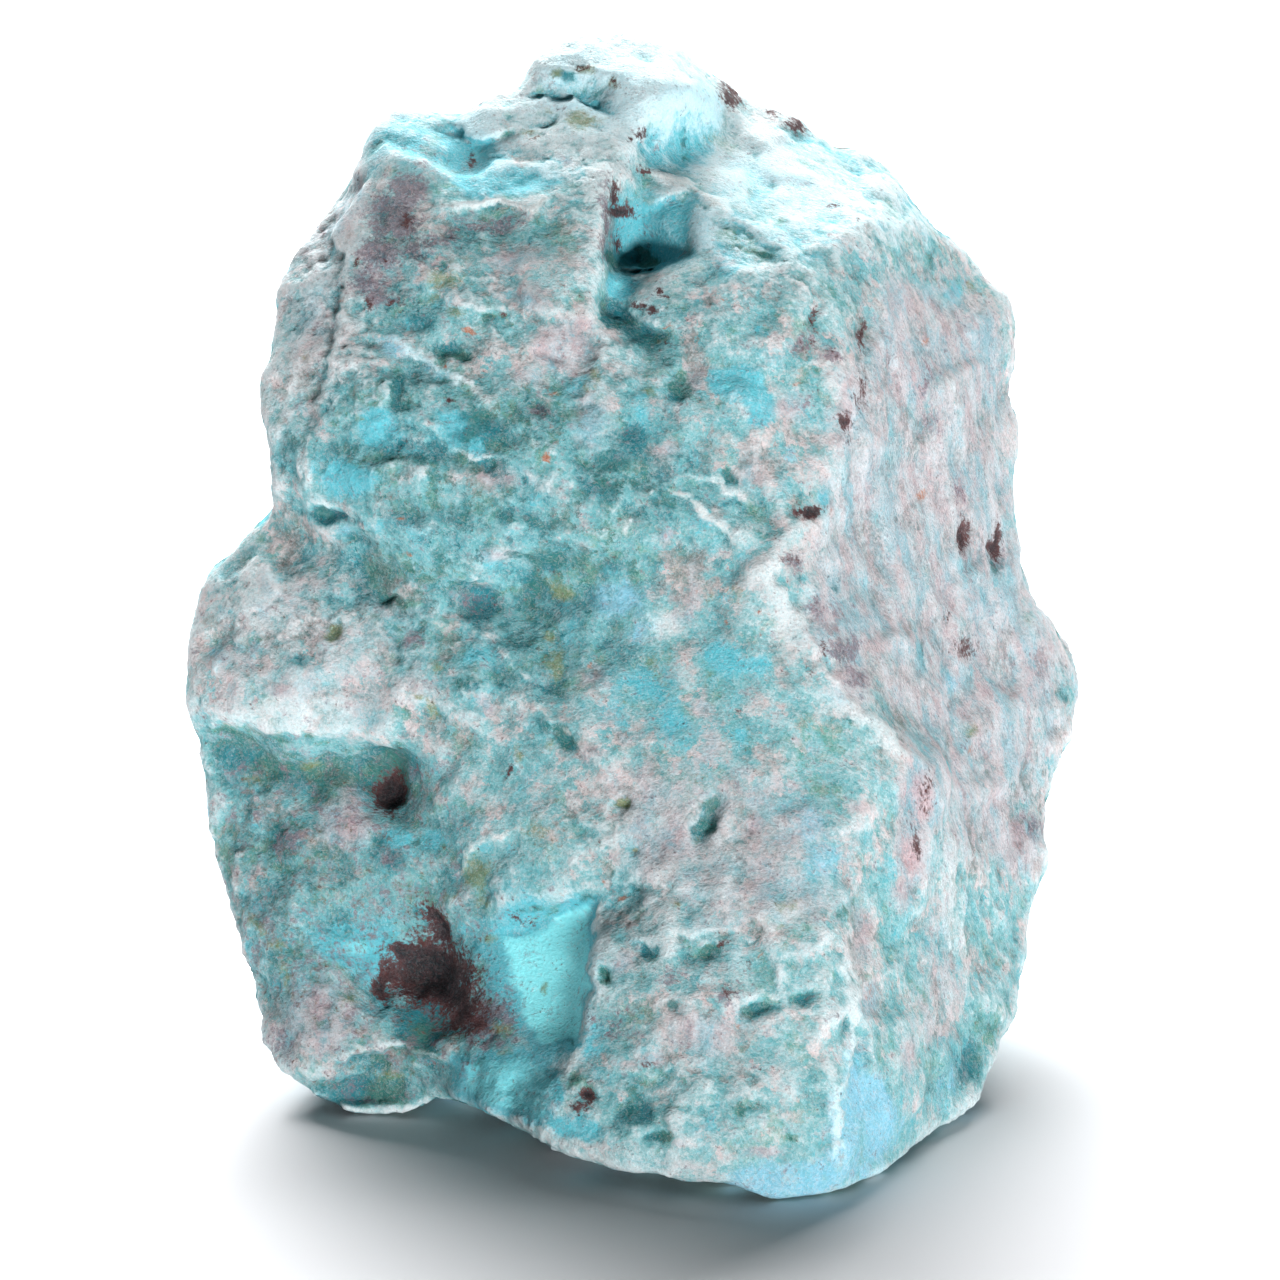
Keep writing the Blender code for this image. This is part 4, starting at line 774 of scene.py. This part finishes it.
def broken_surface():
    """Geometry nodes that scallop, ledge, pit and grain the skin, and note how proud each place stands."""
    tree = bpy.data.node_groups.new("broken surface", "GeometryNodeTree")
    panel = tree.interface
    panel.new_socket("Geometry", in_out="INPUT", socket_type="NodeSocketGeometry")
    for name, height in RELIEF.items():
        panel.new_socket(name, in_out="INPUT", socket_type="NodeSocketFloat").default_value = height
    panel.new_socket("Material", in_out="INPUT", socket_type="NodeSocketMaterial")
    panel.new_socket("Geometry", in_out="OUTPUT", socket_type="NodeSocketGeometry")
    given = node(tree, "NodeGroupInput")
    place = node(tree, "GeometryNodeInputPosition")
    normal = node(tree, "GeometryNodeInputNormal")

    def marked(name):
        return node(tree, "GeometryNodeInputNamedAttribute", {"data_type": "FLOAT"}, {"Name": name})

    relief = broken_relief(place, given.out) * marked("rough")
    height = relief + marked("vein") * VEIN_HEIGHT - marked("hollow")
    shift = normal.scaled(height).vector("ADD", times(tree, TOWARDS_EYE, marked("sunk") * -1.0))
    skin = node(tree, "GeometryNodeSetPosition", {}, {"Geometry": given.out("Geometry"), "Offset": shift})

    for name, rounds in BLUR_ROUNDS.items():
        blur = {"Value": place, "Iterations": rounds}
        even = node(tree, "GeometryNodeBlurAttribute", {"data_type": "FLOAT_VECTOR"}, blur)
        proud = place.vector("SUBTRACT", even).vector("DOT_PRODUCT", normal).out("Value")
        skin = kept(skin, name, "FLOAT", proud)
    drift = cloud(place, 0.36, 3, 0.6, 40.0, 0.6)
    streak = cloud(place.vector("MULTIPLY", (1.0, 1.0, 0.17)), 0.8, 3, 0.65, 70.0, 0.4)
    skin = kept(skin, "drift", "FLOAT_VECTOR", drift.out("Color"))
    skin = kept(skin, "streak", "FLOAT_VECTOR", streak.out("Color"))

    joined = node(tree, "GeometryNodeRealizeInstances", {}, {"Geometry": skin})
    shaded = node(tree, "GeometryNodeSetShadeSmooth", {}, {"Geometry": joined})
    cover = {"Geometry": shaded, "Material": given.out("Material")}
    node(tree, "NodeGroupOutput", {}, {"Geometry": node(tree, "GeometryNodeSetMaterial", {}, cover)})
    return tree


def break_skin(stone, material):
    """Works the skin with the broken surface, then brings it to metres."""
    worked = stone.modifiers.new("broken surface", "NODES")
    worked.node_group = broken_surface()
    for item in worked.node_group.interface.items_tree:
        if item.in_out == "INPUT" and item.name == "Material":
            worked[item.identifier] = material
    thinned = stone.modifiers.new("fewer faces where it is plain", "DECIMATE")
    thinned.ratio = FACES_KEPT
    made_plain(stone)
    places = read_vectors(stone.data.vertices, "co") * MM
    stone.data.vertices.foreach_set("co", places.astype(np.float32).ravel())
    stone.data.update()


# ---- materials
def shade(red, green, blue):
    """A colour as it is seen on a screen, 0 to 255, turned to the light it gives."""
    seen = [value / 255 for value in (red, green, blue)]
    return [v / 12.92 if v <= 0.04045 else ((v + 0.055) / 1.055) ** 2.4 for v in seen] + [1.0]


def mixed(share, below, above):
    """Colour above over colour below, by share."""
    return node(
        share.tree, "ShaderNodeMix", {"data_type": "RGBA", "clamp_factor": True},
        {"Factor": share, "A": below, "B": above},
    )


class Marks:
    """What the finish reads at each place: the stored minerals, and the noise that mottles them."""

    def __init__(self, tree):
        self.tree = tree
        place = node(tree, "ShaderNodeTexCoord").out("Object").scaled(1 / MM)
        beds = in_beds(place, 1.8)
        for name in (*PATCHES, *BLUR_ROUNDS, "vein"):  # on.rust is how much rust lies there, and so on
            setattr(self, name, self.stored(name, "Fac"))
        self.drift, self.tint, self.cast = self.stored("drift", "Vector").round_zero().three()
        self.silky, self.blue_silk, self.dull_silk = self.stored("streak", "Vector").round_zero().three()
        wobble = cloud(beds, 1.5, 4, 0.72, 9.0).out("Color").round_zero()
        self.mottle, self.smear, self.dusting = wobble.three()
        self.ragged = beds.vector("ADD", wobble.scaled(2.2))
        self.leaf, self.leaf_tint, self.leaf_cast = cells(self.ragged, 1.2).out("Color").round_zero().three()
        grid = place.scaled(9.0).vector("ADD", wobble.scaled(9.0)).vector("FLOOR")
        crystal = node(tree, "ShaderNodeTexWhiteNoise", {}, {"Vector": grid})
        self.bright, self.warm, _ = crystal.out("Color").round_zero().three()
        self.fibre = cloud(beds, 4.0, 2, 0.7, 21.0) - 0.5
        # The tone sinks where the deep teal and the painted shade lie.
        self.tone = (
            self.drift * 0.85 + self.mottle * 0.95 + self.leaf * 0.22 + self.brow * 0.5 + self.edge * 0.8
            - self.deep * 0.38 + self.turquoise * 0.12
        )

    def stored(self, name, part):
        return node(self.tree, "ShaderNodeAttribute", {"attribute_name": name}).out(part)


def ground(on):
    """Deep teal in the hollows and under the painted shade, through teal to pale turquoise, with moss and
    bright and sky-blue seams.
    """
    colour = mixed(ramp(on.tone, -0.5, 0.02), shade(24, 98, 106), shade(102, 166, 171))
    colour = mixed(ramp(on.tone, -0.05, 0.45), colour, shade(178, 208, 211))
    moss = ramp(on.tint * 1.7 + on.smear * 0.9 + on.leaf_tint * 0.3 - on.tone * 0.4, 0.08, 0.48) * 0.7
    colour = mixed(moss, colour, shade(88, 142, 118))
    bloom = on.tint * -1.8 - on.leaf_tint * 0.35 + on.dusting * 0.6 + on.turquoise * 1.5
    colour = mixed(ramp(bloom, 0.08, 0.6) * 0.95, colour, shade(84, 178, 192))
    colour = mixed(ramp(on.turquoise + on.smear * 0.5, 0.75, 1.3), colour, shade(138, 236, 243))
    sky = ramp(on.sky + on.smear * 1.6 + on.silky * 1.4, 0.25, 1.05) * 0.85
    return mixed(sky, colour, shade(128, 192, 216))


def veiled(on, colour):
    """Powder and crust over the proud places, pinkish in some and bluish in others, with white threads. Over
    the crown and the upper slope the crust is also a painted highlight.
    """
    rosy = on.cast * 1.5 + on.smear * 0.95 + on.leaf_cast * 0.35 + on.pink * 0.6
    rosy = ramp(rosy - on.turquoise * 1.3 - on.deep * 0.3 - on.sky * 0.35, -0.08, 0.42) * 0.92
    powder = mixed(ramp(on.tone + on.smear * 0.4, -0.3, 0.2), shade(112, 118, 116), shade(208, 190, 189))
    colour = mixed(rosy, colour, powder)
    cover = on.dusting * 1.1 + on.edge * 1.9 + on.brow * 0.4 + on.chalk * 0.6
    cover = ramp(cover - on.deep * 0.3 - on.turquoise * 0.35 - on.sky * 0.25, 0.0, 0.5) * 0.8
    crust = mixed(ramp(on.turquoise + on.sky, 0.08, 0.35), shade(207, 217, 219), shade(204, 232, 239))
    colour = mixed(cover, colour, crust)
    thread = cloud(on.ragged, 0.6, 1, 0.5, 33.0) - 0.5
    threads = ramp(thread.math("ABSOLUTE"), 0.022, 0.0)
    threads = threads * ramp(on.mottle + on.chalk * 0.3 - on.deep * 0.3, -0.05, 0.15)
    return mixed(threads * 0.45, colour, shade(206, 220, 222))


def streaked(on, colour):
    """Upright silky streaks where the stone is pink, then the dark green seams, which are partly painted
    shade.
    """
    silk = mixed(ramp(on.silky + on.mottle * 0.4, -0.12, 0.12), shade(168, 150, 156), shade(183, 191, 197))
    silk = mixed(ramp(on.blue_silk + on.smear * 0.4, -0.05, 0.1) * 0.8, silk, shade(92, 164, 180))
    silk = mixed(ramp(on.dull_silk + on.dusting * 0.5, 0.05, 0.18) * 0.75, silk, shade(106, 80, 88))
    colour = mixed(ramp(on.pink + on.drift + on.mottle * 0.8, 0.1, 0.75) * 0.75, colour, silk)
    colour = mixed(ramp(on.pink + on.mottle * 1.2, 0.75, 1.3) * 0.6, colour, shade(184, 146, 150))
    seam = ramp(on.deep - on.tone * 0.8 + on.smear * 0.8 + on.leaf_cast * 0.3, 0.4, 0.95) * 0.85
    return mixed(seam, colour, mixed(ramp(on.tint, -0.1, 0.1), shade(20, 108, 118), shade(38, 100, 94)))


def stained(on, colour):
    """Violet-brown, olive, brown, orange and rust stains, and the pale veins."""
    plum = mixed(ramp(on.leaf + on.mottle * 2.0, -0.3, 0.35), shade(58, 42, 58), shade(112, 94, 106))
    violet = ramp(on.violet + on.mottle * 1.6 + on.leaf * 0.5 + on.fibre * 0.8, 0.15, 0.75) * 0.85
    colour = mixed(violet, colour, plum)
    olive = ramp(on.ochre + on.smear * 0.9 + on.fibre * 0.8, 0.25, 0.9) * 0.75
    colour = mixed(olive, colour, shade(112, 124, 66))
    colour = mixed(ramp(on.vein + on.mottle * 1.4, 0.35, 0.95) * 0.6, colour, shade(208, 208, 204))
    colour = mixed(ramp(on.smear - on.dusting - on.mottle * 0.5, 0.32, 0.5) * 0.6, colour, shade(124, 96, 80))
    orange = ramp(on.orange + on.fibre * 0.9 + on.dusting * 0.4, 0.4, 0.95) * 0.9
    colour = mixed(orange, colour, shade(170, 102, 66))
    core = mixed(ramp(on.fibre, -0.1, 0.15), shade(22, 14, 18), shade(50, 26, 30))
    stain = mixed(ramp(on.rust + on.fibre + on.mottle, 0.6, 1.15), shade(78, 40, 40), core)
    return mixed(ramp(on.rust + on.fibre * 1.6 + on.smear * 1.6, 0.2, 0.75) * 0.97, colour, stain)


def grained(on, colour):
    """Fine grain: every crystal a little lighter or darker, warmer or cooler."""
    shine = (1.0 - on.turquoise * 0.5 - on.rust * 0.9 - on.deep * 0.5).math("MAXIMUM", 0.2)
    colour = mixed(ramp(on.bright, 0.0, 0.5) * shine * 0.19, colour, shade(228, 232, 234))
    colour = mixed(ramp(on.bright * -1.0, 0.0, 0.5) * shine * 0.2, colour, shade(64, 102, 108))
    colour = mixed(ramp(on.warm, 0.1, 0.5) * shine * 0.16, colour, shade(206, 170, 164))
    return mixed(ramp(on.warm * -1.0, 0.1, 0.5) * shine * 0.14, colour, shade(96, 186, 200))


def chrysocolla_finish():
    material = bpy.data.materials.new("chrysocolla")
    material.use_nodes = True
    tree = material.node_tree
    tree.nodes.clear()
    on = Marks(tree)
    colour = grained(on, stained(on, streaked(on, veiled(on, ground(on)))))
    bump = node(tree, "ShaderNodeBump", {}, {"Strength": 0.5, "Distance": 0.0001, "Height": on.fibre * 1.8})
    skin = node(
        tree, "ShaderNodeBsdfPrincipled", {},
        {
            "Base Color": colour, "Roughness": ramp(on.turquoise, 0.2, 0.9) * -0.2 + 0.76, "Normal": bump,
            "Specular IOR Level": 0.25,
        },
    )
    node(tree, "ShaderNodeOutputMaterial", {}, {"Surface": skin})
    return material


def table_finish():
    material = bpy.data.materials.new("white table")
    material.use_nodes = True
    skin = material.node_tree.nodes["Principled BSDF"]
    skin.inputs["Base Color"].default_value = (0.86, 0.86, 0.88, 1)
    skin.inputs["Roughness"].default_value = 0.7
    return material


# ---- the scene around it
def softbox(name, place, width, height, power):
    lamp = bpy.data.lights.new(name, "AREA")
    lamp.shape = "ELLIPSE"
    lamp.size = width
    lamp.size_y = height
    lamp.energy = power
    box = bpy.data.objects.new(name, lamp)
    bpy.context.scene.collection.objects.link(box)
    box.location = place
    box.rotation_euler = (Vector(LAMP_AIM) - Vector(place)).to_track_quat("-Z", "Y").to_euler()


def studio():
    """The pale table, the soft light and the camera."""
    bpy.ops.mesh.primitive_plane_add(size=3.0)
    table = bpy.context.object
    table.name = "table"
    table.data.materials.append(table_finish())
    scene = bpy.context.scene
    world = bpy.data.worlds.new("studio")
    scene.world = world
    world.use_nodes = True
    room = world.node_tree.nodes["Background"].inputs
    room["Color"].default_value = (1, 1, 1, 1)
    room["Strength"].default_value = ROOM_LIGHT
    for lamp in LAMPS:
        softbox(*lamp)
    lens = bpy.data.cameras.new("camera")
    lens.lens = 180
    lens.sensor_width = 36
    lens.clip_start = 0.01
    camera = bpy.data.objects.new("camera", lens)
    scene.collection.objects.link(camera)
    camera.location = (CENTRE + TOWARDS_EYE * EYE_DISTANCE) * MM
    camera.rotation_euler = (math.pi / 2 - LEAN, 0, 0)
    scene.camera = camera
    scene.view_settings.view_transform = "Standard"


stone = even_skin(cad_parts["chrysocolla"])
mark_skin(stone)
break_skin(stone, chrysocolla_finish())
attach(stone, "root")
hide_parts("chrysocolla")
studio()
